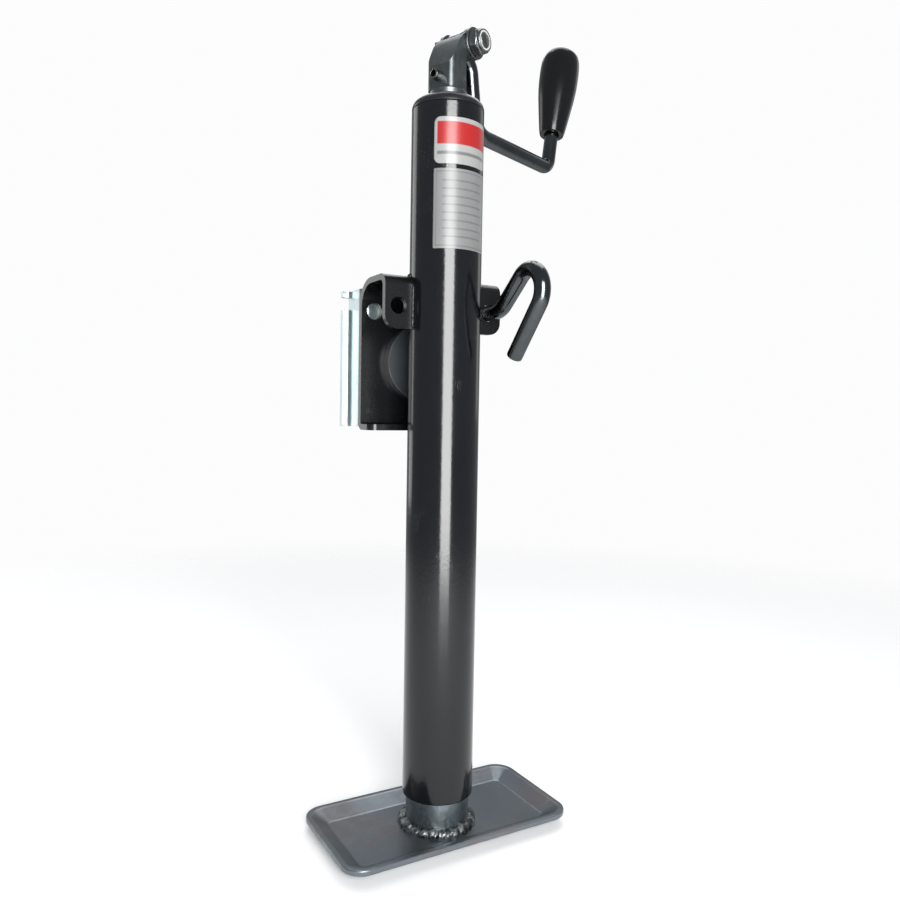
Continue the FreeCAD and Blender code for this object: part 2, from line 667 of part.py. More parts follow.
foot = new_body("foot_plate")
slope = size("foot_inset") + size("foot_lip")
dish_depth = size("foot_height") - size("foot_thick")
slope_angle = math.degrees(math.atan2(size("foot_inset").value, dish_depth.value))
pad(foot, "XY", 0, dish_depth, taper=slope_angle, outline=rectangle(
    size("foot_length") - 2 * slope, size("foot_width") - 2 * slope))
pad(foot, "XY", dish_depth, size("foot_height"), outline=rectangle(size("foot_length"), size("foot_width")))
pocket(foot, "XY", size("foot_thick"), size("foot_height"), taper=-slope_angle, outline=rectangle(
    size("foot_length") - 2 * size("foot_lip") - 1, size("foot_width") - 2 * size("foot_lip") - 1))
doc.recompute()
round_edges(foot, size("foot_corner"), lambda a, b: abs(a.z - b.z) > 1 and max(abs(a.x), abs(b.x))
            > size("foot_length").value / 2 - 0.01)
round_edges(foot, size("foot_corner") - 3, lambda a, b: abs(a.z - b.z) > 6 and abs(a.x - b.x) > 1)

weld = turned("foot_weld", [
    (ram_r + fit, size("foot_thick")), (ram_r + size("weld_leg"), size("foot_thick")),
    (ram_r + size("weld_leg") * 0.72, size("foot_thick") + size("weld_leg") * 0.62),
    (ram_r + fit, size("foot_thick") + size("weld_leg"))])

# ---- Swivel bracket and hub, fixed to the tube ----

bracket = new_body("swivel_bracket")
half_bracket = size("bracket_width") / 2
top, low_edge = size("bracket_top"), size("bracket_base")
front = size("plate_front")
pad(bracket, "YZ", -half_bracket, half_bracket, outline=[
    (size("flange_front"), low_edge), (plate_rear, low_edge), (plate_rear, top), (0, top),
    (0, size("ear_base")), (plate, size("ear_base")), (plate, top - plate), (front, top - plate),
    (front, low_edge + plate), (size("flange_front"), low_edge + plate)])
round_edges(bracket, size("top_bend"), corner_edge(0, (plate_rear, top)))
round_edges(bracket, size("top_bend") - plate, corner_edge(0, (front, top - plate)))
round_edges(bracket, size("front_bend"), corner_edge(0, (as_dim(0), top)))
round_edges(bracket, size("front_bend") - plate, corner_edge(0, (plate, top - plate)))
round_edges(bracket, plate + 2, corner_edge(0, (plate_rear, low_edge)))
round_edges(bracket, as_dim(2), corner_edge(0, (front, low_edge + plate)))
round_edges(bracket, size("ear_corner"), lambda a, b: abs(abs(a.x) - half_bracket.value) < 1e-3
            and abs(a.x - b.x) < 1e-4 and abs(a.z - b.z) < 1e-4 and abs(a.y - b.y) > 4
            and abs(a.z - size("ear_base").value) < 1e-3)
round_edges(bracket, size("flange_corner"), corner_edge(
    2, (half_bracket, size("flange_front")), (-half_bracket, size("flange_front"))))
slot_r = tube_r + 0.02
pocket(bracket, "XY", low_edge - 5, top + 5, circles=[(0, 0, slot_r)])
lock = size("lock_offset")
hole_r = size("lock_hole") / 2
pocket(bracket, "XZ", -5, plate_rear + 5, circles=[(side * lock, swivel_z + lock, hole_r)
                                                   for side in (-1, 1)])
pocket(bracket, "XZ", front - 3, plate_rear + 3, circles=[(0, swivel_z, size("spigot_od") / 2 + fit)])

# The hub's pieces are made about Z at the origin and laid along +Y at the swivel's height
hub_placement = place_along((0, 0, swivel_z.value), (0, 1, 0))
spigot_r = size("spigot_od") / 2
web_rear = plate_rear + gap + plate
ring_base = web_rear + gap + size("hub_washer_thick") + fit
ring_floor = spigot_r - size("ring_depth")
hub_blank = turned("hub_blank", [
    (size("spigot_bore") / 2, size("hub_front") + 2), (0, size("hub_front") + 2), (0, 10),
    (size("saddle_od") / 2, 10), (size("saddle_od") / 2, size("hub_front")),
    (size("hub_od") / 2, size("hub_front")), (size("hub_od") / 2, front - fit),
    (spigot_r, front - fit), (spigot_r, ring_base), (ring_floor, ring_base),
    (ring_floor, ring_base + size("ring_thick")), (spigot_r, ring_base + size("ring_thick")),
    (spigot_r, size("spigot_end")), (size("spigot_bore") / 2, size("spigot_end"))])
nodes.remove(hub_blank)
hub_blank.Placement = hub_placement
tube_shadow = cylinder("hub_saddle_cut", slot_r, 200, place_along((0, 0, swivel_z.value - 100), (0, 0, 1)))
keep(boolean("Cut", "swivel_hub", hub_blank, tube_shadow))
hub_washer = ring("hub_washer", size("hub_washer_od") / 2, spigot_r + fit, web_rear + gap,
                  web_rear + gap + size("hub_washer_thick"))
hub_washer.Placement = hub_placement
snap = ring("hub_snap_ring", spigot_r + 3, ring_floor + fit, ring_base + fit / 2,
            ring_base + size("ring_thick") - fit / 2)
snap.Placement = hub_placement

# ---- Frame bracket: turns about the hub, and is welded to the trailer by its lips ----

frame = new_body("frame_bracket")
half_frame = size("frame_width") / 2
web_front = plate_rear + gap
rear = size("frame_rear")
lip = half_frame + size("lip_out")
bottom, upper = size("frame_base"), size("frame_top")
pad(frame, "XY", bottom, upper, outline=[
    (-half_frame, web_front), (half_frame, web_front), (half_frame, rear - plate), (lip, rear - plate),
    (lip, rear), (half_frame - plate, rear), (half_frame - plate, web_rear),
    (-half_frame + plate, web_rear), (-half_frame + plate, rear), (-lip, rear),
    (-lip, rear - plate), (-half_frame, rear - plate)])
round_edges(frame, size("frame_bend"), corner_edge(2, (half_frame, web_front), (-half_frame, web_front)))
round_edges(frame, size("frame_bend") - plate, corner_edge(
    2, (half_frame - plate, web_rear), (-half_frame + plate, web_rear)))
round_edges(frame, as_dim(3), corner_edge(2, (half_frame, rear - plate), (-half_frame, rear - plate)))
tab_base = upper - size("tab_height")
for side in (-1, 1):
    inner, outer = side * (half_frame - 1), side * (lip + 2)
    pocket(frame, "XZ", rear - plate - 4, rear + 4, outline=[
        (inner, size("lip_top")), (outer, size("lip_top")), (outer, tab_base), (inner, tab_base)])
pocket(frame, "XZ", web_front - 2, web_rear + size("drill_run"), circles=[
    (0, swivel_z, spigot_r + size("hub_gap")),
    (lock, swivel_z + lock, hole_r), (lock, swivel_z - lock, hole_r)])

# ---- Pull pin: round bar with a hooked handle, in its own XZ plane before it is turned ----

pin_run = 61.1
handle, handle_end, handle_axis = bent_bar("pull_pin", (as_dim(0), as_dim(0)), 180, [
    pin_run, (20, -40), 29.3, (17, 170), 48.8])
hook_placement = FreeCAD.Placement(
    FreeCAD.Vector(lock.value, size("pin_tip").value, (swivel_z + lock).value),
    FreeCAD.Rotation(FreeCAD.Vector(0, 0, 1), 90))
clip_start = size("pin_tip") - size("pin_clip_place")
pin_groove = ring("pin_groove_tool", rod_r + 2, rod_r - 1, clip_start - size("clip_thick") / 2,
                  clip_start + size("clip_thick") / 2)
nodes.remove(pin_groove)
pin_groove.Placement = place_along((0, 0, 0), (-1, 0, 0))
pull_pin = keep(boolean("Cut", "pull_pin", handle, pin_groove))
pull_pin.Placement = hook_placement
pin_clip = ring("pin_clip", rod_r + 4, rod_r - 1 + fit, clip_start - size("clip_thick") / 2 + fit / 2,
                clip_start + size("clip_thick") / 2 - fit / 2)
pin_clip.Placement = hook_placement.multiply(place_along((0, 0, 0), (-1, 0, 0)))

# ---- Recompute, check and write ----

doc.recompute()
faults = []
for obj in doc.Objects:
    if "Invalid" in obj.State or "Error" in obj.State:
        faults.append("%s is %s" % (obj.Label, obj.State))
for obj in cuts:
    if obj.isDerivedFrom("Part::Cut"):
        before = obj.Base.Shape.Volume
    else:
        before = obj.BaseFeature.Shape.Volume
    if obj.Shape.isNull() or obj.Shape.Volume > before - 0.05:
        faults.append("%s takes nothing away" % obj.Label)
for node in nodes:
    if node.Shape.isNull() or not node.Shape.isValid() or not node.Shape.Solids:
        faults.append("%s has no valid solid" % node.Label)
if faults:
    raise SystemExit("\n".join(faults))

os.makedirs("parts", exist_ok=True)
for node in nodes:
    node.Shape.exportStep("parts/%s.step" % node.Label)
    box = node.Shape.BoundBox
    print("%-20s %2d solid %10.1f mm3  x %7.1f %7.1f  y %7.1f %7.1f  z %7.1f %7.1f" % (
        node.Label, len(node.Shape.Solids), node.Shape.Volume, box.XMin, box.XMax, box.YMin, box.YMax,
        box.ZMin, box.ZMax))
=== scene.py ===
import bpy
import bmesh
import math
import numpy as np
from mathutils import Matrix, Vector
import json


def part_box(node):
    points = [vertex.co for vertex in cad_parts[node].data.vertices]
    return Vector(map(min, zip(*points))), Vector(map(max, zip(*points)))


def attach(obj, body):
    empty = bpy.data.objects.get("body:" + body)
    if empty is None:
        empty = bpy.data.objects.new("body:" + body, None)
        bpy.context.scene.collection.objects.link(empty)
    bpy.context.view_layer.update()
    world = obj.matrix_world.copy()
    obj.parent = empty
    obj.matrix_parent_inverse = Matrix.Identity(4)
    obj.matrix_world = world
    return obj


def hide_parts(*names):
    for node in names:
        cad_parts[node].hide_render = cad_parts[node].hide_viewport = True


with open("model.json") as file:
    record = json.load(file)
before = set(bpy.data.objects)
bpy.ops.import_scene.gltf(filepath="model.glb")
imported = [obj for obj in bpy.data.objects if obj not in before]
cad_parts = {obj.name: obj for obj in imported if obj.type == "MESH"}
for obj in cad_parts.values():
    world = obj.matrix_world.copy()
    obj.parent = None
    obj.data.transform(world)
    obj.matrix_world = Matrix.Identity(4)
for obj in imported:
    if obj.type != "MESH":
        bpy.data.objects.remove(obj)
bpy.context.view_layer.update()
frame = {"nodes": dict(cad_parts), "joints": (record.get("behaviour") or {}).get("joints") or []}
joints = {joint["name"]: joint for joint in frame["joints"]}
mm = 0.001
print("frame loaded,", len(frame["nodes"]), "nodes")


cameraSettings = {
    "place": (-0.30776, -0.55334, 0.33780),
    "right": (0.86959, -0.49350, 0.01664),
    "ahead": (0.49371, 0.86841, -0.04592),
    "lens": 31.486,
}
ahead = Vector(cameraSettings["ahead"]).normalized()
right = Vector(cameraSettings["right"]).normalized()
up = right.cross(ahead)
camera = bpy.data.objects.new("camera", bpy.data.cameras.new("camera"))
bpy.context.scene.collection.objects.link(camera)
camera.data.lens = cameraSettings["lens"]
camera.data.sensor_width = 36
camera.matrix_world = Matrix((
    (right.x, up.x, -ahead.x, cameraSettings["place"][0]),
    (right.y, up.y, -ahead.y, cameraSettings["place"][1]),
    (right.z, up.z, -ahead.z, cameraSettings["place"][2]),
    (0, 0, 0, 1)))
bpy.context.scene.camera = camera
bpy.context.scene.view_settings.view_transform = "Standard"
bpy.context.scene.view_settings.look = "None"


# A Field is one socket of a recipe. Sums, products and the like add Math nodes to its tree.

class Field:
    def __init__(self, recipe, socket):
        self.recipe, self.socket = recipe, socket

    def mathNode(self, operation, first, second=0.0):
        return self.recipe.node("ShaderNodeMath", {"operation": operation}, {0: first, 1: second})

    def __add__(self, other):
        return self.mathNode("ADD", self, other)

    def __sub__(self, other):
        return self.mathNode("SUBTRACT", self, other)

    def __mul__(self, other):
        return self.mathNode("MULTIPLY", self, other)

    def __truediv__(self, other):
        return self.mathNode("DIVIDE", self, other)

    def __rsub__(self, other):
        return self.mathNode("SUBTRACT", other, self)

    __radd__ = __add__
    __rmul__ = __mul__

    def absolute(self):
        return self.mathNode("ABSOLUTE", self)

    def least(self, other):
        return self.mathNode("MINIMUM", self, other)

    def most(self, other):
        return self.mathNode("MAXIMUM", self, other)

    def wrapped(self, span):
        return self.mathNode("FLOORED_MODULO", self, span)

    def step(self, low, high):          # 0 below low, 1 above high, smooth between
        return self.recipe.node("ShaderNodeMapRange", {"interpolation_type": "SMOOTHSTEP"},
                                {"Value": self, "From Min": low, "From Max": high})

    def inside(self, low, high, soft):  # 1 between low and high
        return self.step(low - soft, low + soft) * (1 - self.step(high - soft, high + soft))


class Recipe:
    def __init__(self, name, **constants):
        self.material = bpy.data.materials.new(name)
        self.material.use_nodes = True
        self.tree = self.material.node_tree
        self.shader = self.tree.nodes["Principled BSDF"]
        for socket, value in constants.items():
            self.shader.inputs[socket.replace("_", " ")].default_value = value
        self.place = self.node("ShaderNodeTexCoord", {}, {}, "Object")

    def node(self, kind, settings, sockets, output=0):
        made = self.tree.nodes.new(kind)
        for key, value in settings.items():
            setattr(made, key, value)
        for key, value in sockets.items():
            if isinstance(value, Field):
                self.tree.links.new(value.socket, made.inputs[key])
            else:
                made.inputs[key].default_value = value
        return Field(self, made.outputs[output])

    def stretched(self, scale, turn=(0, 0, 0)):
        return self.node("ShaderNodeMapping", {},
                         {"Vector": self.place, "Scale": scale, "Rotation": turn})

    def noise(self, scale, detail=2.0, roughness=0.5, distortion=0.0, vector=None):
        return self.node("ShaderNodeTexNoise", {}, {
            "Vector": vector or self.place, "Scale": scale, "Detail": detail,
            "Roughness": roughness, "Distortion": distortion})

    def cells(self, scale, vector=None, output="Distance"):
        return self.node("ShaderNodeTexVoronoi", {},
                         {"Vector": vector or self.place, "Scale": scale}, output)

    def axes(self):
        split = self.node("ShaderNodeSeparateXYZ", {}, {"Vector": self.place})
        made = split.socket.node
        return [Field(self, made.outputs[n]) for n in range(3)]

    def blend(self, amount, first, second):
        made = self.node("ShaderNodeMix", {"data_type": "RGBA"}, {0: amount}, 2).socket.node
        for slot, value in ((6, first), (7, second)):
            if isinstance(value, Field):
                self.tree.links.new(value.socket, made.inputs[slot])
            else:
                made.inputs[slot].default_value = (*value, 1)
        return Field(self, made.outputs[2])

    def finish(self, colour=None, roughness=None, metallic=None, height=None, depth=0.0002):
        fields = {"Base Color": colour, "Roughness": roughness, "Metallic": metallic}
        for socket, field in fields.items():
            if field is not None:
                self.tree.links.new(field.socket, self.shader.inputs[socket])
        if height is not None:
            bump = self.node("ShaderNodeBump", {},
                             {"Height": height, "Distance": depth, "Strength": 1.0})
            self.tree.links.new(bump.socket, self.shader.inputs["Normal"])
        return self.material


def blackPaint(name, base, shine, peel, wear):
    # Powder coat: orange peel, faint clouds, dust specks, hairline scratches
    mix = Recipe(name, IOR=1.48)
    clouds = mix.noise(14, 4, 0.6)
    grain = mix.noise(900, 2)
    peelWaves = mix.noise(peel, 2, 0.4)
    specks = 1 - mix.cells(420, mix.stretched((1, 1, 0.6))).step(0.03, 0.09)
    patches = mix.noise(22, 3, 0.6, vector=mix.stretched((1, 1, 0.5))).step(0.58, 0.72)
    dust = specks * patches * wear
    scratch = mix.noise(60, 3, 0.7, 0.3, mix.stretched((9, 9, 0.35), (0.3, 0.1, 0)))
    hairline = (1 - (scratch - 0.5).absolute().step(0.001, 0.006)) * mix.noise(30, 2).step(0.58, 0.7)
    dark = mix.blend(clouds, tuple(c * 0.82 for c in base), tuple(c * 1.22 for c in base))
    worn = mix.blend((dust + hairline * 0.12 * wear).least(1), dark, (0.2, 0.2, 0.19))
    return mix.finish(colour=worn,
                      roughness=shine + (clouds - 0.5) * 0.12 + (grain - 0.5) * 0.08 + dust * 0.2,
                      height=peelWaves * 0.6 + grain * 0.12 - hairline * 0.25, depth=0.00006)


def wornEdgeAndHighlight(name, base, bare):
    # Paint rubbed thin on a corner, so metal shows here and there. The unrubbed edge colour (base) is set lighter
    # than the black face paint, which paints a highlight along every rounded edge
    mix = Recipe(name)
    rub = mix.noise(160, 4, 0.65).step(0.46, 0.62)
    fleck = mix.noise(900, 2).step(0.45, 0.6)
    return mix.finish(colour=mix.blend(rub * 0.75 + fleck * 0.15, base, bare),
                      roughness=0.42 - rub * 0.12, metallic=rub * 0.5,
                      height=rub * -0.5 + fleck * 0.2, depth=0.0001)


def zincPlate(name, dark, light, rough, streak, spangle, turn=(0, 0, 0)):
    # Plated steel: cloudy tone, draw lines along one direction, small crystals, pale oxide spots
    mix = Recipe(name)
    clouds = mix.noise(26, 5, 0.62, 0.4)
    lines = mix.noise(240, 3, 0.6, vector=mix.stretched(streak, turn))
    crystals = mix.cells(spangle, output="Color")
    facet = mix.node("ShaderNodeSeparateColor", {}, {0: crystals})
    fine = mix.noise(1400, 2)
    oxide = mix.noise(75, 4, 0.7).step(0.62, 0.78)
    tone = (clouds * 0.55 + lines * 0.3 + facet * 0.22).least(1)
    metal = mix.blend(tone, dark, light)
    spotted = mix.blend(oxide * 0.35, metal, tuple(c * 0.9 + 0.05 for c in light))
    return mix.finish(colour=spotted,
                      roughness=rough + (lines - 0.5) * 0.14 + facet * 0.06 + oxide * 0.16,
                      metallic=0.97 - oxide * 0.2,
                      height=lines * 0.5 + fine * 0.2 + clouds * 0.6, depth=0.00009)


def brightRod(name, dark, light, rough):
    # Drawn round bar under thin zinc: fine lines, dull bands, handling marks
    mix = Recipe(name, Metallic=1.0)
    clouds = mix.noise(38, 4, 0.6, 0.3)
    marks = mix.noise(180, 4, 0.7, 0.6).step(0.6, 0.74)
    fine = mix.noise(1100, 3)
    return mix.finish(colour=mix.blend((clouds + (fine - 0.5) * 0.35 - marks * 0.25).least(1), dark, light),
                      roughness=rough + (clouds - 0.5) * 0.12 + marks * 0.14,
                      height=fine * 0.25 + clouds * 0.8 - marks * 0.3, depth=0.00008)


def footPlating(name):
    # Bluish zinc with violet-brown stains, rings of drying marks and scuffs from the press
    mix = Recipe(name)
    clouds = mix.noise(9, 5, 0.6, 0.7)
    stain = mix.noise(16, 4, 0.65, 0.9).step(0.46, 0.66)
    rings = (mix.noise(30, 2, 0.5, 1.2) - 0.5).absolute()
    tide = (1 - rings.step(0.004, 0.016)) * stain
    lines = mix.noise(300, 3, 0.6, vector=mix.stretched((0.25, 3, 3)))
    fine = mix.noise(1500, 2)
    scuff = mix.noise(120, 4, 0.7).step(0.6, 0.75)
    blue = mix.blend(clouds, (0.1, 0.118, 0.136), (0.225, 0.25, 0.268))
    brown = mix.blend(stain * 0.65, blue, (0.13, 0.108, 0.113))
    scuffed = mix.blend(scuff * 0.4 + tide * 0.15, brown, (0.3, 0.316, 0.322))
    return mix.finish(colour=scuffed, roughness=0.34 + stain * 0.1 + (lines - 0.5) * 0.12 + scuff * 0.08,
                      metallic=0.92 - stain * 0.14,
                      height=lines * 0.4 + fine * 0.2 + clouds * 0.8, depth=0.0001)


def weldMetal(name, dark, light, rough):
    mix = Recipe(name)
    lumps = mix.noise(210, 5, 0.7, 0.4)
    soot = mix.noise(45, 3).step(0.48, 0.62)
    ripples = mix.noise(700, 3)
    return mix.finish(colour=mix.blend((lumps.step(0.35, 0.65) - soot * 0.3).most(0), dark, light),
                      roughness=rough + lumps * 0.2, metallic=0.95 - soot * 0.25,
                      height=lumps * 1.0 + ripples * 0.25, depth=0.0006)


def mouldedPlastic(name, base, rough, texture):
    mix = Recipe(name, IOR=1.38)
    smear = mix.noise(24, 4, 0.6, 0.8)
    grain = mix.noise(texture, 2)
    nicks = mix.noise(160, 3, 0.7).step(0.66, 0.74)
    return mix.finish(colour=mix.blend(nicks * 0.25, mix.blend(smear, base, tuple(c * 1.5 for c in base)),
                                       (0.05, 0.05, 0.05)),
                      roughness=rough + (smear - 0.5) * 0.14 + nicks * 0.2,
                      height=grain * 0.3 + smear * 1.2 - nicks * 0.5, depth=0.00008)


def warmMetal(name, dark, light, rough):
    mix = Recipe(name, Metallic=1.0)
    tarnish = mix.noise(50, 5, 0.65, 0.5)
    fine = mix.noise(1300, 2)
    return mix.finish(colour=mix.blend(tarnish, dark, light), roughness=rough + (tarnish - 0.5) * 0.25,
                      height=fine * 0.3 + tarnish * 0.6, depth=0.00007)


paintTone = (0.0028, 0.0034, 0.0043)
finishes = {
    "tubePaint": blackPaint("tubePaint", paintTone, 0.14, 330, 1.0),
    "capPaint": blackPaint("capPaint", (0.0055, 0.006, 0.0075), 0.3, 360, 0.3),
    "bracketPaint": blackPaint("bracketPaint", (0.0018, 0.0022, 0.0028), 0.26, 420, 0.6),
    "hubPaint": blackPaint("hubPaint", (0.02, 0.0235, 0.026), 0.36, 380, 0.4),
    # Rounded edges of the swivel bracket and hub: the rubbed patches are wear, and the grey base tone is a
    # painted edge highlight
    "paintEdgeWearAndHighlight": wornEdgeAndHighlight("paintEdgeWearAndHighlight", (0.024, 0.023, 0.022), (0.13, 0.122, 0.118)),
    "clevisZinc": zincPlate("clevisZinc", (0.07, 0.08, 0.083), (0.155, 0.172, 0.175), 0.34, (1, 1, 0.3), 260),
    # A lighter copy of the clevis zinc for the clevis's rounded edges: a painted edge highlight
    "clevisEdgeHighlight": zincPlate("clevisEdgeHighlight", (0.3, 0.33, 0.335), (0.55, 0.57, 0.57), 0.26, (1, 1, 1), 300),
    "frameZinc": zincPlate("frameZinc", (0.26, 0.32, 0.33), (0.47, 0.54, 0.55), 0.3, (1, 1, 0.25), 420),
    "fastenerZinc": zincPlate("fastenerZinc", (0.085, 0.092, 0.095), (0.19, 0.2, 0.2), 0.28, (1, 1, 1), 500),
    "ramZinc": zincPlate("ramZinc", (0.1, 0.125, 0.135), (0.27, 0.312, 0.328), 0.32, (2.5, 2.5, 0.15), 300),
    "rodZinc": brightRod("rodZinc", (0.05, 0.056, 0.06), (0.12, 0.13, 0.135), 0.17),
    "footZinc": footPlating("footZinc"),
    "footWeld": weldMetal("footWeld", (0.025, 0.028, 0.03), (0.26, 0.28, 0.285), 0.24),
    "paintedWeld": blackPaint("paintedWeld", (0.004, 0.0043, 0.005), 0.34, 260, 0.5),
    "gripPlastic": mouldedPlastic("gripPlastic", (0.0028, 0.0028, 0.0033), 0.17, 1000),
    "nylon": mouldedPlastic("nylon", (0.3, 0.3, 0.28), 0.45, 1400),
    "darkNylon": mouldedPlastic("darkNylon", (0.03, 0.03, 0.03), 0.45, 1400),
    "bronze": warmMetal("bronze", (0.3, 0.19, 0.08), (0.55, 0.4, 0.2), 0.3),
    "brass": warmMetal("brass", (0.42, 0.3, 0.11), (0.66, 0.52, 0.24), 0.27),
    "springSteel": warmMetal("springSteel", (0.05, 0.052, 0.056), (0.14, 0.14, 0.145), 0.36),
    "toolSteel": warmMetal("toolSteel", (0.12, 0.122, 0.12), (0.28, 0.28, 0.275), 0.25),
    "ballSteel": warmMetal("ballSteel", (0.6, 0.6, 0.61), (0.8, 0.8, 0.81), 0.08),
    "sinter": warmMetal("sinter", (0.1, 0.1, 0.1), (0.22, 0.215, 0.21), 0.45),
}
print("finishes made,", len(finishes))


def addPiece(name, mesh, body, finish, stands=(), slotName=None, edge=None):
    obj = bpy.data.objects.new(name, mesh)
    bpy.context.scene.collection.objects.link(obj)
    mesh.materials.append(finishes[finish])
    if edge:
        mesh.materials.append(finishes[edge])
    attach(obj, body)
    if stands:
        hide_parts(*stands)
    return obj


def evenNormals(obj):
    obj.data.shade_smooth()
    weighted = obj.modifiers.new("evenNormals", "WEIGHTED_NORMAL")
    weighted.keep_sharp = True
    return obj


def gridMesh(name, grid, loopRows=False, loopColumns=True):
    # Quads between neighbours of a rows by columns grid of points. A row whose points coincide is a
    # pole: it keeps one vertex, and its quads become triangles. Faces are turned to point outwards.
    rows, columns = grid.shape[:2]
    index = np.arange(rows * columns).reshape(rows, columns)
    poles = np.ptp(grid, axis=1).max(axis=1) < 1e-9
    index[poles] = index[poles, :1]
    here, after = (index, np.roll(index, -1, 0)) if loopRows else (index[:-1], index[1:])
    if loopColumns:
        corners = [here, np.roll(here, -1, 1), np.roll(after, -1, 1), after]
    else:
        corners = [here[:, :-1], here[:, 1:], after[:, 1:], after[:, :-1]]
    quads = np.stack(corners, -1).reshape(-1, 4)
    topPole, endPole = quads[:, 0] == quads[:, 1], quads[:, 2] == quads[:, 3]
    triangles = np.concatenate([quads[topPole][:, [0, 2, 3]], quads[endPole][:, [0, 1, 2]]])
    quads = quads[~(topPole | endPole)]
    points = grid.reshape(-1, 3)
    used, flat = np.unique(np.concatenate([quads.ravel(), triangles.ravel()]), return_inverse=True)
    points = points[used]
    quads, triangles = flat[:quads.size].reshape(-1, 4), flat[quads.size:].reshape(-1, 3)
    halves = np.concatenate([quads[:, :3], quads[:, [0, 2, 3]], triangles])
    a, b, c = (points[halves[:, n]] - points.mean(0) for n in range(3))
    if np.einsum("ij,ij->i", a, np.cross(b, c)).sum() < 0:
        quads, triangles = quads[:, ::-1], triangles[:, ::-1]
    mesh = bpy.data.meshes.new(name)
    mesh.from_pydata(points.tolist(), [], quads.tolist() + triangles.tolist())
    mesh.update()
    return mesh


def softCorners(outline, cut, closed=True, steps=5):
    # Each corner becomes a quadratic curve that starts and ends one cut away from it
    corner = np.array(outline, float)
    before, after = np.roll(corner, 1, 0), np.roll(corner, -1, 0)

    def towards(other):
        away = other - corner
        length = np.linalg.norm(away, axis=1, keepdims=True)
        return corner + away * np.minimum(cut / length, 0.45)
    t = np.linspace(0, 1, steps)[None, :, None]
    curve = (1 - t) ** 2 * towards(before)[:, None] + 2 * t * (1 - t) * corner[:, None]
    curve = curve + t ** 2 * towards(after)[:, None]
    if closed:
        return curve.reshape(-1, 2)
    return np.concatenate([corner[:1], curve[1:-1].reshape(-1, 2), corner[-1:]])


def smoothThrough(points, count):
    # Catmull-Rom curve through the points
    p = np.array(points, float)
    p = np.concatenate([2 * p[:1] - p[1:2], p, 2 * p[-1:] - p[-2:-1]])
    t = np.linspace(0, len(p) - 3, count)
    n = np.minimum(t.astype(int), len(p) - 4)
    f = (t - n)[:, None]
    a, b, c, d = p[n], p[n + 1], p[n + 2], p[n + 3]
    return 0.5 * (2 * b + (c - a) * f + (2 * a - 5 * b + 4 * c - d) * f ** 2 + (3 * b - a - 3 * c + d) * f ** 3)


def sideways(axis):
    axis = np.array(axis, float) / np.linalg.norm(axis)
    across = np.cross(axis, (0, 0, 1.0)) if abs(axis[2]) < 0.9 else np.cross(axis, (0, 1.0, 0))
    across /= np.linalg.norm(across)
    return axis, across, np.cross(axis, across)


def aroundAxis(profile, origin, axis, count=96, reach=None):
    # Point (row, turn) = origin + axis * height + radius * (across cos turn + other sin turn);
    # reach gives another radius for each row and turn
    axis, across, other = sideways(axis)
    turn = np.linspace(0, 2 * math.pi, count, endpoint=False)
    radius = np.repeat(profile[:, :1], count, 1) if reach is None else reach(profile[:, :1], turn[None, :])
    spoke = np.cos(turn)[None, :, None] * across + np.sin(turn)[None, :, None] * other
    return (np.array(origin) + profile[:, 1][:, None, None] * axis + radius[:, :, None] * spoke) * mm


def turnedPiece(name, profile, origin, axis, body, finish, stands=(), closed=True, count=96, reach=None, **more):
    mesh = gridMesh(name, aroundAxis(np.array(profile, float), origin, axis, count, reach), loopRows=closed)
    return evenNormals(addPiece(name, mesh, body, finish, stands, **more))


def barPath(start, heading, moves):
    # Points along straight runs and tangent arcs in a plane; returns points, headings and curvatures
    here, angle = np.array(start, float), math.radians(heading)
    points, angles, bends = [here[None]], [np.array([angle])], [np.zeros(1)]
    for move in moves:
        if isinstance(move, tuple):
            radius, turn = move[0], math.radians(move[1])
            side = math.copysign(1, turn)
            centre = here + radius * side * np.array((-math.sin(angle), math.cos(angle)))
            swept = angle + turn * np.linspace(0, 1, max(8, int(abs(move[1]) / 4)) + 1)[1:]
            points.append(centre + radius * side * np.stack([np.sin(swept), -np.cos(swept)], 1))
            angles.append(swept)
            bends.append(np.full(len(swept), side / radius))
            angle += turn
        else:
            steps = np.linspace(0, move, max(2, int(move / 6)) + 1)[1:, None]
            points.append(here + steps * np.array((math.cos(angle), math.sin(angle))))
            angles.append(np.full(len(steps), angle))
            bends.append(np.zeros(len(steps)))
        here = points[-1][-1]
    return np.concatenate(points), np.concatenate(angles), np.concatenate(bends)


def bentBar(name, path, radius, place, body, finish, stands, endCut, count=40):
    # Circles carried along a plane path. The bar flattens a little across its bends and its two ends
    # are rounded off; place turns (along, across, height) into the object's own axes.
    points, angles, bends = path
    ends = np.array([(0, 0.0), (0.15, 0.72), (0.45, 0.92), (1, 1)])
    insets, shares = ends[:, 0] * endCut, 1 - (1 - ends[:, 1]) * endCut / radius
    shares[0] = 0
    shares = np.concatenate([[0], [1 - endCut / radius], shares[1:]])
    insets = np.concatenate([[0], [0], insets[1:]])
    first, last = (np.array((math.cos(a), math.sin(a))) for a in (angles[0], angles[-1]))
    lead = points[0] + insets[:, None] * first
    tail = points[-1] - insets[::-1, None] * last
    centres = np.concatenate([lead, points[1:-1], tail])
    along = np.concatenate([np.full(len(lead), angles[0]), angles[1:-1], np.full(len(tail), angles[-1])])
    size = np.concatenate([shares, np.ones(len(points) - 2), shares[::-1]]) * radius
    bend = np.convolve(np.concatenate([np.zeros(len(lead)), np.abs(bends[1:-1]), np.zeros(len(tail))]),
                       np.ones(3) / 3, "same")
    turn = np.linspace(0, 2 * math.pi, count, endpoint=False)[None]
    inPlane = (size * (1 - 0.35 * bend))[:, None] * np.cos(turn)
    outOfPlane = (size * (1 + 0.3 * bend))[:, None] * np.sin(turn)
    x = centres[:, :1] - np.sin(along)[:, None] * inPlane
    z = centres[:, 1:] + np.cos(along)[:, None] * inPlane
    grid = place(x, outOfPlane, z) * mm
    return evenNormals(addPiece(name, gridMesh(name, grid), body, finish, stands))


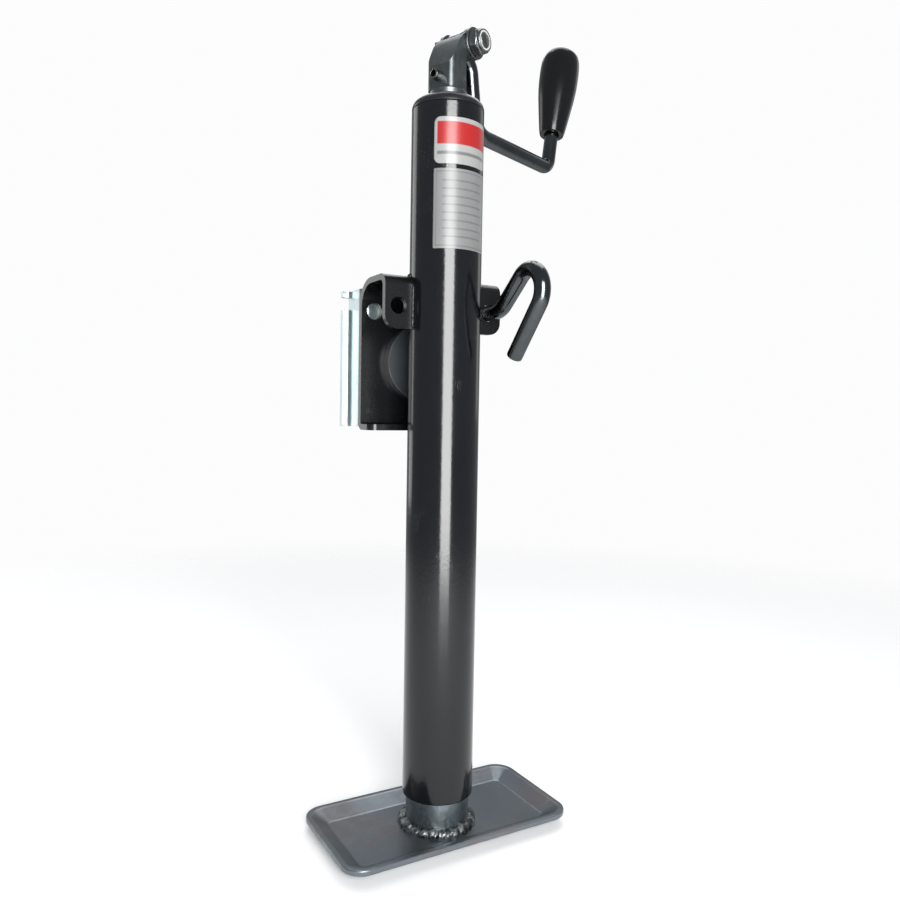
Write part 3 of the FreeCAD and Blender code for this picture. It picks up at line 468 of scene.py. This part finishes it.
def finishedCopy(name, node, body, finish, bevel, edge=None, segments=3):
    # The CAD node's own shape with its flat faces joined and its corners rounded
    mesh = frame["nodes"][node].data.copy()
    mesh.name = name
    mesh.materials.clear()
    work = bmesh.new()
    work.from_mesh(mesh)
    bmesh.ops.remove_doubles(work, verts=work.verts, dist=1e-6)
    bmesh.ops.dissolve_limit(work, angle_limit=math.radians(0.6), verts=work.verts, edges=work.edges)
    work.to_mesh(mesh)
    work.free()
    obj = addPiece(name, mesh, body, finish, (node,), edge=edge)
    rounding = obj.modifiers.new("rounding", "BEVEL")
    rounding.width, rounding.segments = bevel * mm, segments
    rounding.limit_method, rounding.angle_limit = "ANGLE", math.radians(35)
    rounding.use_clamp_overlap = True
    if edge:
        rounding.material = 1
    return evenNormals(obj)


def hexReach(flats):
    # Radius of a hexagon at each turn, never more than the row's own radius
    def reach(limit, turn):
        side = (turn + math.pi / 6) % (math.pi / 3) - math.pi / 6
        return np.minimum(flats / 2 / np.cos(side), limit)
    return reach


def dress(node, finish):
    mesh = frame["nodes"][node].data
    mesh.materials.clear()
    mesh.materials.append(finishes[finish])


tubeLow, tubeHigh = (np.array(corner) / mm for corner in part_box("outer_tube"))
capLow, capHigh = (np.array(corner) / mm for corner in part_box("top_cap"))
tubeRadius = 57.15 / 2
tubeSettings = {"wall": 2.5, "rim": 1.0, "capEdge": 7.6, "capBore": 12.0}
turnedPiece("outerTube", softCorners([
    (tubeRadius - tubeSettings["wall"], tubeLow[2]), (tubeRadius, tubeLow[2]),
    (tubeRadius, tubeHigh[2]), (tubeRadius - tubeSettings["wall"], tubeHigh[2])],
    tubeSettings["rim"]), (0, 0, 0), (0, 0, 1), "jack_body", "tubePaint", ("outer_tube",), count=160)

# Quarter circle from the cap's side to its top, then the flat and the bore
capTurn = np.linspace(0, math.pi / 2, 12)
capProfile = np.concatenate([
    [(23.0, capLow[2]), (26.0, capLow[2]), (26.0, tubeHigh[2] + 0.02), (tubeRadius, tubeHigh[2] + 0.02)],
    np.stack([tubeRadius - tubeSettings["capEdge"] * (1 - np.cos(capTurn)),
              capHigh[2] - tubeSettings["capEdge"] * (1 - np.sin(capTurn))], 1),
    [(tubeSettings["capBore"] + 0.6, capHigh[2]), (tubeSettings["capBore"], capHigh[2] - 0.6),
     (tubeSettings["capBore"], 579.0), (23.0, 579.0)]])
turnedPiece("topCap", capProfile, (0, 0, 0), (0, 0, 1), "jack_body", "capPaint", ("top_cap",), count=128)

keyLow, keyHigh = (np.array(corner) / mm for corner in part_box("guide_key"))
keyHeight = (keyLow[2] + keyHigh[2]) / 2
turnedPiece("guideKey", [(0, 0), (4.6, 0), (5, 0.4), (5, 5.5), (5.6, 6.0), (5.2, 6.5), (3.4, 6.9), (0, 7.0)],
            (0, 22.95, keyHeight), (0, 1, 0), "jack_body", "paintedWeld", ("guide_key",), closed=False, count=48)


stickerSettings = {
    "badge": {"low": 527.0, "high": 562.0, "halfTurn": 50, "corner": 5.0},
    "notice": {"low": 463.5, "high": 523.6, "halfTurn": 50, "corner": 1.2},
}


def stickerMesh(name, low, high, halfTurn, corner):
    # A patch of the tube between two heights. Near its ends it narrows along a quarter circle, so its
    # corners are round: half width = full - corner + sqrt(corner^2 - (corner - distance to end)^2).
    radius = tubeRadius + 0.06
    ends = corner * (1 - np.cos(np.linspace(0, math.pi / 2, 8)))
    middle = np.linspace(low + corner, high - corner, 14)[1:-1]
    height = np.concatenate([low + ends, middle, (high - ends)[::-1]])
    near = np.minimum(corner, np.minimum(height - low, high - height))
    halfWidth = math.radians(halfTurn) * radius - corner + np.sqrt(corner ** 2 - (corner - near) ** 2)
    turn = np.linspace(-1, 1, 49)[None] * (halfWidth / radius)[:, None]
    grid = np.stack([radius * np.sin(turn), -radius * np.cos(turn), height[:, None] + 0 * turn], -1) * mm
    return gridMesh(name, grid, loopColumns=False)


def stickerFields(mix, low, high, halfTurn):
    # across runs from -1 to 1 round the tube, rise from 0 to 1 up the sticker
    x, y, z = mix.axes()
    turn = mix.node("ShaderNodeMath", {"operation": "ARCTAN2"}, {0: x, 1: y * -1})
    return turn / math.radians(halfTurn), (z - low * mm) / ((high - low) * mm)


def badgeFinish(settings):
    # A plain label: one block of colour over one grey rule
    mix = Recipe("badgePrint", IOR=1.5)
    across, rise = stickerFields(mix, settings["low"], settings["high"], settings["halfTurn"])
    block = rise.inside(0.42, 0.9, 0.01) * across.inside(-0.9, 0.9, 0.01)
    rule = rise.inside(0.2, 0.27, 0.01) * across.inside(-0.9, 0.9, 0.01)
    paper = mix.blend(mix.noise(40, 4), (0.19, 0.193, 0.19), (0.235, 0.235, 0.232))
    inked = mix.blend(block, paper, (0.24, 0.01, 0.01))
    inked = mix.blend(rule, inked, (0.1, 0.1, 0.1))
    scuff = mix.noise(220, 4, 0.7).step(0.62, 0.75)
    return mix.finish(colour=mix.blend(scuff * 0.18, inked, (0.24, 0.235, 0.23)),
                      roughness=0.3 + scuff * 0.2, height=mix.noise(500, 2) * 0.3, depth=0.00005)


def noticeFinish(settings):
    # A plain panel: even grey rules inside a thin border
    mix = Recipe("noticePrint", IOR=1.5)
    across, rise = stickerFields(mix, settings["low"], settings["high"], settings["halfTurn"])
    foil = mix.blend(mix.noise(35, 4, 0.6), (0.115, 0.118, 0.118), (0.15, 0.154, 0.154))
    rules = rise.wrapped(0.1).inside(0.04, 0.06, 0.004) * rise.inside(0.1, 0.9, 0.001)
    rules = rules * across.inside(-0.72, 0.72, 0.01)
    border = rise.inside(0.03, 0.97, 0.004) * across.inside(-0.92, 0.92, 0.008)
    border = border * (1 - rise.inside(0.045, 0.955, 0.004) * across.inside(-0.895, 0.895, 0.008))
    scuff = mix.noise(240, 4, 0.7).step(0.62, 0.76)
    printed = mix.blend((rules * 0.6 + border * 0.6).least(1), foil, (0.06, 0.06, 0.06))
    return mix.finish(colour=mix.blend(scuff * 0.15, printed, (0.22, 0.22, 0.22)),
                      roughness=0.34 + scuff * 0.15, height=mix.noise(480, 2) * 0.3, depth=0.00005)


finishes["badgePrint"] = badgeFinish(stickerSettings["badge"])
finishes["noticePrint"] = noticeFinish(stickerSettings["notice"])
for name, settings in stickerSettings.items():
    pieceName = name + "Sticker"
    sticker = addPiece(pieceName, stickerMesh(pieceName, **settings), "jack_body", name + "Print")
    thickness = sticker.modifiers.new("film", "SOLIDIFY")
    thickness.thickness, thickness.offset = 0.14 * mm, 1.0
    sticker.data.shade_smooth()
print("tube, cap and stickers made")


# The bracket's and hub's rounded edges take the lighter edge finish: wear patches plus a painted edge highlight
finishedCopy("swivelBracket", "swivel_bracket", "jack_body", "bracketPaint", 0.7, "paintEdgeWearAndHighlight")
finishedCopy("swivelHub", "swivel_hub", "jack_body", "hubPaint", 0.8, "paintEdgeWearAndHighlight")
finishedCopy("hubWasher", "hub_washer", "jack_body", "fastenerZinc", 0.4)
finishedCopy("hubSnapRing", "hub_snap_ring", "jack_body", "springSteel", 0.2)


def weldBead(name, path, radius, body, finish, seed, closed=False, stands=(), pitch=2.6):
    # Circles along the path whose radius rises and falls: a ripple for each step of the torch and three
    # slow waves of random phase. At an open path's ends the radius falls to nothing.
    path = np.array(path, float)
    count = len(path)
    ahead = np.roll(path, -1, 0) - np.roll(path, 1, 0)
    if not closed:
        ahead[0], ahead[-1] = path[1] - path[0], path[-1] - path[-2]
    ahead /= np.linalg.norm(ahead, axis=1, keepdims=True)
    spread = np.linalg.norm(np.roll(path, -1, 0) - path, axis=1)
    length = np.concatenate([[0], np.cumsum(spread)[:-1]])
    across = np.cross(ahead, (0.31, 0.42, 0.85))
    across /= np.linalg.norm(across, axis=1, keepdims=True)
    other = np.cross(ahead, across)
    random = np.random.default_rng(seed)
    total = length[-1] + (spread[-1] if closed else 0)
    waves = sum(0.07 * np.sin(2 * math.pi * n * length / total + phase)
                for n, phase in zip((3, 7, 13), random.uniform(0, 6.28, 3)))
    steps = round(total / pitch)
    ripple = 0.13 * np.abs(np.sin(math.pi * steps * length / total))
    size = radius * (0.94 + waves + ripple)
    if not closed:
        size *= np.sqrt(np.clip(np.minimum(length, length[-1] - length) / radius, 0, 1))
        size[0] = size[-1] = 0
    turn = np.linspace(0, 2 * math.pi, 20, endpoint=False)
    lumps = 1 + 0.05 * np.sin(3 * turn[None] + length[:, None] * 1.3)
    spoke = np.cos(turn)[None, :, None] * across[:, None] + np.sin(turn)[None, :, None] * other[:, None]
    grid = (path[:, None] + (size[:, None] * lumps)[:, :, None] * spoke) * mm
    mesh = gridMesh(name, grid, loopRows=closed)
    obj = addPiece(name, mesh, body, finish, stands)
    obj.data.shade_smooth()
    return obj


def arcPath(radius, height, fromTurn, toTurn, count):
    turn = np.radians(np.linspace(fromTurn, toTurn, count))
    return np.stack([radius * np.sin(turn), radius * np.cos(turn), np.full(count, height)], 1)


bracketLow, bracketHigh = (np.array(corner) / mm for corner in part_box("swivel_bracket"))
beadSettings = {"radius": 1.6, "ear": 0.9, "tubeSide": tubeRadius + 0.3, "earLow": 404.5, "earHigh": 437}
weldBead("topPlateWeld", arcPath(beadSettings["tubeSide"], bracketHigh[2] + 0.1, -80, 80, 260),
         beadSettings["radius"], "jack_body", "paintedWeld", 3)
weldBead("lowPlateWeld", arcPath(beadSettings["tubeSide"], bracketLow[2] - 0.1, -26, 26, 120),
         beadSettings["radius"], "jack_body", "paintedWeld", 4)
for side, name in ((-1, "leftEarWeld"), (1, "rightEarWeld")):
    height = np.linspace(beadSettings["earLow"], beadSettings["earHigh"], 100)
    path = np.stack([np.full(100, side * (tubeRadius + 0.2)), np.full(100, -0.2), height], 1)
    weldBead(name, path, beadSettings["ear"], "jack_body", "paintedWeld", 6 + side)

# Where the hub's saddle meets the tube: the crossing of two cylinders
saddleSettings = {"reach": 12.3, "height": 380, "radius": 1.9}
saddleTurn = np.linspace(0, 2 * math.pi, 360, endpoint=False)
saddleX = saddleSettings["reach"] * np.cos(saddleTurn)
saddleZ = saddleSettings["height"] + saddleSettings["reach"] * np.sin(saddleTurn)
saddleY = np.sqrt(tubeRadius ** 2 - saddleX ** 2) + 0.4
weldBead("saddleWeld", np.stack([saddleX, saddleY, saddleZ], 1), saddleSettings["radius"],
         "jack_body", "paintedWeld", 11, closed=True)
print("swivel bracket made")


# The clevis's rounded edges get the lighter zinc copy: a painted edge highlight
finishedCopy("handleBracket", "handle_bracket", "screw", "clevisZinc", 0.55, "clevisEdgeHighlight")
finishedCopy("topCollar", "top_collar", "screw", "fastenerZinc", 0.5)
finishedCopy("crossPin", "cross_pin", "screw", "toolSteel", 0.3)
finishedCopy("leadScrewTop", "lead_screw", "screw", "toolSteel", 0.5)

pivot = np.array(joints["crank_fold"]["pos_m"]) / mm
nearSide = np.array(joints["crank_fold"]["axis"])
planeTurn = math.atan2(nearSide[0], -nearSide[1])
outward = np.array((math.cos(planeTurn), math.sin(planeTurn), 0))
fastenerSettings = {"flats": 19.0, "earFace": 12.8, "washer": 2.0, "washerRadius": 12.0, "head": 7.5}
washerFace = fastenerSettings["earFace"] + 0.02
washerTop, washerRadius = washerFace + fastenerSettings["washer"], fastenerSettings["washerRadius"]
turnedPiece("pivotWasher", softCorners([
    (6.2, washerFace), (washerRadius, washerFace), (washerRadius, washerTop), (6.2, washerTop)], 0.5),
    pivot, nearSide, "screw", "fastenerZinc", ("pivot_washer",), count=72)

# Lock nut: a hexagon with chamfered ends under a round collar that is crimped over a nylon ring
nutBase = fastenerSettings["earFace"] + fastenerSettings["washer"] + 0.05
cornerRadius = fastenerSettings["flats"] / 2 / math.cos(math.pi / 6)
turnedPiece("pivotNut", [
    (6.1, nutBase), (9.3, nutBase), (cornerRadius - 0.9, nutBase + 0.05), (cornerRadius, nutBase + 0.75),
    (cornerRadius, nutBase + 5.4), (cornerRadius - 0.9, nutBase + 6.1), (9.0, nutBase + 6.5),
    (8.85, nutBase + 6.9), (8.85, nutBase + 8.1), (8.6, nutBase + 8.8), (8.1, nutBase + 9.15),
    (7.7, nutBase + 9.1), (7.5, nutBase + 8.6), (6.1, nutBase + 8.5)],
    pivot, nearSide, "screw", "fastenerZinc", ("pivot_nut",), count=120,
    reach=hexReach(fastenerSettings["flats"]))
turnedPiece("nutRing", softCorners([
    (6.0, nutBase + 7.4), (7.45, nutBase + 7.4), (7.45, nutBase + 8.95), (6.0, nutBase + 8.95)], 0.4),
    pivot, nearSide, "screw", "nylon", slotName="pivot_nut", count=64)

# Bolt: chamfered hexagon head with a flat disc on top, shank, and a threaded end
headBase = -fastenerSettings["earFace"]
headTop = headBase - fastenerSettings["head"]
turnedPiece("pivotBolt", [
    (0, headTop), (7.9, headTop), (8.6, headTop + 0.12), (cornerRadius, headTop + 1.3),
    (cornerRadius, headBase - 0.5), (cornerRadius - 0.5, headBase - 0.02), (6.4, headBase - 0.02),
    (5.98, headBase + 0.4), (5.98, 12.0), (5.8, 12.4), (5.8, 23.2), (5.2, 24.3), (0, 24.45)],
    pivot, nearSide, "screw", "fastenerZinc", ("pivot_bolt",), closed=False, count=120,
    reach=hexReach(fastenerSettings["flats"]))

spacerSettings = {"bore": 6.15, "radius": 9.0, "inner": 6.85, "outer": 9.5}
for name, side in (("spacerNear", 1), ("spacerFar", -1)):
    low, high = sorted((side * spacerSettings["inner"], side * spacerSettings["outer"]))
    bore, radius = spacerSettings["bore"], spacerSettings["radius"]
    turnedPiece(name, softCorners([(bore, low), (radius, low), (radius, high), (bore, high)], 0.3),
                pivot, nearSide, "screw", "darkNylon", ("pivot_spacers",), count=60)
print("clevis and pivot made")


rodRadius = 6.35
crankSettings = {"startHeading": -41.6, "firstTurn": -38.4, "runHeading": 1.3, "lean": 11.5, "first": 13.2,
                 "drop": 31.1, "run": 99.1, "stem": 108.0, "eyeBend": 14, "lowBend": 16, "stemBend": 10}
stemHeading = 90 - crankSettings["lean"]
stemTurn = stemHeading - crankSettings["runHeading"]
lowTurn = crankSettings["runHeading"] - crankSettings["startHeading"] - crankSettings["firstTurn"]
cornerLost = crankSettings["stemBend"] * math.tan(math.radians(stemTurn) / 2)
pivotOut = math.hypot(pivot[0], pivot[1])
crankPath = barPath((pivotOut, pivot[2]), crankSettings["startHeading"], [
    crankSettings["first"], (crankSettings["eyeBend"], crankSettings["firstTurn"]),
    crankSettings["drop"], (crankSettings["lowBend"], lowTurn),
    crankSettings["run"], (crankSettings["stemBend"], stemTurn), crankSettings["stem"] - cornerLost])


def onCrankPlane(x, aside, z):
    shape = np.broadcast_shapes(x.shape, aside.shape, z.shape)
    x, aside, z = (np.broadcast_to(v, shape)[..., None] for v in (x, aside, z))
    return x * outward + aside * nearSide + z * np.array((0, 0, 1.0))


bentBar("crankRod", crankPath, rodRadius, onCrankPlane, "crank", "rodZinc", ("crank_rod",), 0.9)
turnedPiece("crankEye", softCorners([
    (6.06, -6.7), (10.4, -6.7), (11.0, -5.6), (11.0, 5.6), (10.4, 6.7), (6.06, 6.7)], 0.8),
    pivot, nearSide, "crank", "rodZinc", ("crank_rod",), count=96)
stemAxis = math.sin(math.radians(crankSettings["lean"])) * outward
stemAxis = stemAxis + math.cos(math.radians(crankSettings["lean"])) * np.array((0, 0, 1.0))
stemEnd = crankPath[0][-1]
stemCorner = stemEnd[0] * outward + np.array((0, 0, stemEnd[1])) - crankSettings["stem"] * stemAxis

gripSettings = {"bore": 6.43, "counterbore": 8.55, "shoulder": 101.6, "count": 90}
gripOutline = smoothThrough([
    (11.3, 33.5), (12.4, 38.0), (14.1, 49.0), (15.7, 60.0), (17.1, 70.0), (18.1, 80.0), (18.5, 90.0),
    (18.4, 100.0), (17.6, 108.0), (15.4, 113.6), (11.6, 116.8), (6.0, 118.2), (0.0, 118.4)],
    gripSettings["count"])
gripProfile = np.concatenate([
    [(0, 109.5), (8.4, 109.5), (gripSettings["counterbore"], 109.3),
     (gripSettings["counterbore"], gripSettings["shoulder"]), (gripSettings["bore"], gripSettings["shoulder"]),
     (gripSettings["bore"], 34.2), (7.2, 33.2), (8.0, 33.0), (10.2, 33.0), (10.9, 33.1)], gripOutline])
turnedPiece("handleGrip", gripProfile, stemCorner, stemAxis, "grip", "gripPlastic", ("handle_grip",),
            closed=False, count=128)
dress("grip_clip", "springSteel")
print("crank made")


for node, finish in {
        "inner_ram": "ramZinc", "drive_nut": "sinter", "nut_pins": "toolSteel", "screw_bush": "bronze",
        "bearing_race_upper": "toolSteel", "bearing_race_lower": "toolSteel", "bearing_cage": "brass",
        "bearing_balls": "ballSteel", "screw_end_washer": "fastenerZinc", "screw_end_clip": "springSteel",
        "pin_clip": "springSteel"}.items():
    dress(node, finish)

footHigh = np.array(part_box("foot_plate")[1]) / mm
footSettings = {"corner": 17.0, "thick": 4.5, "lip": 4.0, "slope": 12.0, "sideSteps": 30}


def footGrid(settings):
    # Rounded rectangles at growing insets, stacked: from the middle of the top out over the sloping rim,
    # round the lip's edge and back under to the middle. Each is four corner arcs about centres at plus and
    # minus (a, b), joined by straight sides that are cut into even steps.
    halfX, halfY = footHigh[0], footHigh[1]
    top = footHigh[2]
    thick, lip, slope = settings["thick"], settings["lip"], settings["slope"]
    profile = softCorners([
        (halfY - 0.01, thick), (lip + slope + 0.5, thick), (lip + 0.5, top), (0.0, top),
        (0.0, top - thick), (lip, top - thick - 0.3), (lip + slope, 0.0), (halfY - 0.01, 0.0)], 1.1, closed=False)
    inset, height = profile[:, 0], profile[:, 1]
    corner = np.clip(settings["corner"] - inset * 0.75, 0.01, None)[:, None]
    a = (halfX - inset)[:, None] - corner
    b = np.maximum((halfY - inset)[:, None] - corner, 0)
    arcs = [np.stack([sx * a + corner * np.cos(turn), sy * b + corner * np.sin(turn)], -1)
            for (sx, sy), turn in zip(((1, 1), (-1, 1), (-1, -1), (1, -1)),
                                      (first + np.linspace(0, math.pi / 2, 17)[None]
                                       for first in np.arange(4) * math.pi / 2))]
    share = np.linspace(0, 1, settings["sideSteps"] + 2)[1:-1][None, :, None]
    sides = [one[:, -1:] * (1 - share) + two[:, :1] * share for one, two in zip(arcs, arcs[1:] + arcs[:1])]
    flat = np.concatenate([part for pair in zip(arcs, sides) for part in pair], 1)
    grid = np.concatenate([flat, np.repeat(height[:, None, None], flat.shape[1], 1)], -1)
    return grid * mm


grid = footGrid(footSettings)
mesh = gridMesh("footPlate", grid)
evenNormals(addPiece("footPlate", mesh, "ram", "footZinc", ("foot_plate",)))

footWeldSettings = {"ram": 25.7, "out": 0.9, "height": 5.2, "radius": 5.0, "pitch": 7.5}
turn = np.linspace(0, 2 * math.pi, 720, endpoint=False)
uneven = 0.5 * np.sin(3 * turn + 1.0) + 0.35 * np.sin(8 * turn + 2.2)
reach = footWeldSettings["ram"] + footWeldSettings["out"] + uneven * 0.6
footWeldHeight = footWeldSettings["height"] + 0.35 * np.sin(5 * turn)
footWeldPath = np.stack([reach * np.cos(turn), reach * np.sin(turn), footWeldHeight], 1)
weldBead("footWeld", footWeldPath, footWeldSettings["radius"], "ram", "footWeld", 21, closed=True,
         stands=("foot_weld",), pitch=footWeldSettings["pitch"])
print("foot made")


finishedCopy("frameBracket", "frame_bracket", "frame_mount", "frameZinc", 0.45)

pinLow, pinHigh = (np.array(corner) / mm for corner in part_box("pull_pin"))
pinSettings = {"height": 421, "shank": 61.1, "neckBend": 20, "neckTurn": -40, "neck": 29.3,
               "hookBend": 17, "hookTurn": 170, "leg": 48.8, "endCut": 0.8}
pinPath = barPath((0, 0), 180, [
    pinSettings["shank"], (pinSettings["neckBend"], pinSettings["neckTurn"]),
    pinSettings["neck"], (pinSettings["hookBend"], pinSettings["hookTurn"]), pinSettings["leg"]])


def onPinPlane(x, aside, z):
    shape = np.broadcast_shapes(x.shape, aside.shape, z.shape)
    x, aside, z = (np.broadcast_to(v, shape) for v in (x, aside, z))
    middle = (pinLow[0] + pinHigh[0]) / 2
    return np.stack([middle + aside, pinHigh[1] + x, pinSettings["height"] + z], -1)


bentBar("pullPin", pinPath, rodRadius, onPinPlane, "pull_pin", "rodZinc", ("pull_pin",),
        pinSettings["endCut"])
print("pull pin made")


floorSettings = {"radius": 1.6, "fadeFrom": 0.35, "drop": 0.0002, "rings": 24, "spokes": 96}
ring = np.linspace(0, floorSettings["radius"], floorSettings["rings"])[:, None]
turn = np.linspace(0, 2 * math.pi, floorSettings["spokes"], endpoint=False)[None]
floorGrid = np.stack([
    ring * np.cos(turn), ring * np.sin(turn), ring * 0 * turn - floorSettings["drop"]], -1)
floorMesh = gridMesh("floor", floorGrid)
floor = bpy.data.objects.new("floor", floorMesh)
bpy.context.scene.collection.objects.link(floor)
floorMix = Recipe("paleFloor", Roughness=0.9)
floorX, floorY = floorMix.axes()[:2]
fromMiddle = (floorX * floorX + floorY * floorY) / floorSettings["radius"] ** 2
solidPart = 1 - fromMiddle.step((floorSettings["fadeFrom"] / floorSettings["radius"]) ** 2, 0.9)
floorMix.tree.links.new(solidPart.socket, floorMix.shader.inputs["Alpha"])
floorMesh.materials.append(floorMix.finish(
    colour=floorMix.blend(floorMix.noise(3, 2), (0.93, 0.93, 0.93), (0.96, 0.96, 0.96))))

# The room that reflections see is dimmer than the backdrop behind the object
world = bpy.data.worlds.new("studio")
bpy.context.scene.world = world
world.use_nodes = True
room = world.node_tree.nodes["Background"]
room.inputs["Color"].default_value = (0.93, 0.97, 1.0, 1)
room.inputs["Strength"].default_value = 0.34
backdrop = world.node_tree.nodes.new("ShaderNodeBackground")
backdrop.inputs["Color"].default_value = (0.98, 0.98, 0.985, 1)
rays = world.node_tree.nodes.new("ShaderNodeLightPath")
choose = world.node_tree.nodes.new("ShaderNodeMixShader")
for start, end in ((rays.outputs["Is Camera Ray"], choose.inputs[0]), (room.outputs[0], choose.inputs[1]),
                   (backdrop.outputs[0], choose.inputs[2]),
                   (choose.outputs[0], world.node_tree.nodes["World Output"].inputs["Surface"])):
    world.node_tree.links.new(start, end)

lightSettings = {
    # turn is in degrees round the object from the camera's side, positive to the right;
    # the rest are metres and watts
    "window": {"turn": 13, "lift": 0.36, "away": 1.5, "wide": 0.8, "tall": 1.7, "watts": 72},
    "backLeft": {"turn": -125, "lift": 0.7, "away": 1.6, "wide": 0.7, "tall": 1.3, "watts": 5},
    "backRight": {"turn": 135, "lift": 0.9, "away": 1.6, "wide": 0.5, "tall": 1.2, "watts": 1.2},
    "overhead": {"turn": 170, "lift": 2.0, "away": 0.9, "wide": 1.6, "tall": 1.6, "watts": 22},
}
cameraTurn = math.atan2(-ahead.y, -ahead.x)
target = Vector((0, 0, 0.36))
for name, settings in lightSettings.items():
    turn = cameraTurn + math.radians(settings["turn"])
    light = bpy.data.lights.new(name, "AREA")
    light.shape, light.size, light.size_y = "RECTANGLE", settings["wide"], settings["tall"]
    light.energy = settings["watts"]
    lamp = bpy.data.objects.new(name, light)
    bpy.context.scene.collection.objects.link(lamp)
    lamp.location = (
        settings["away"] * math.cos(turn), settings["away"] * math.sin(turn), settings["lift"])
    lamp.rotation_euler = (lamp.location - target).to_track_quat("Z", "Y").to_euler()
print("floor and light made")

bpy.context.view_layer.update()
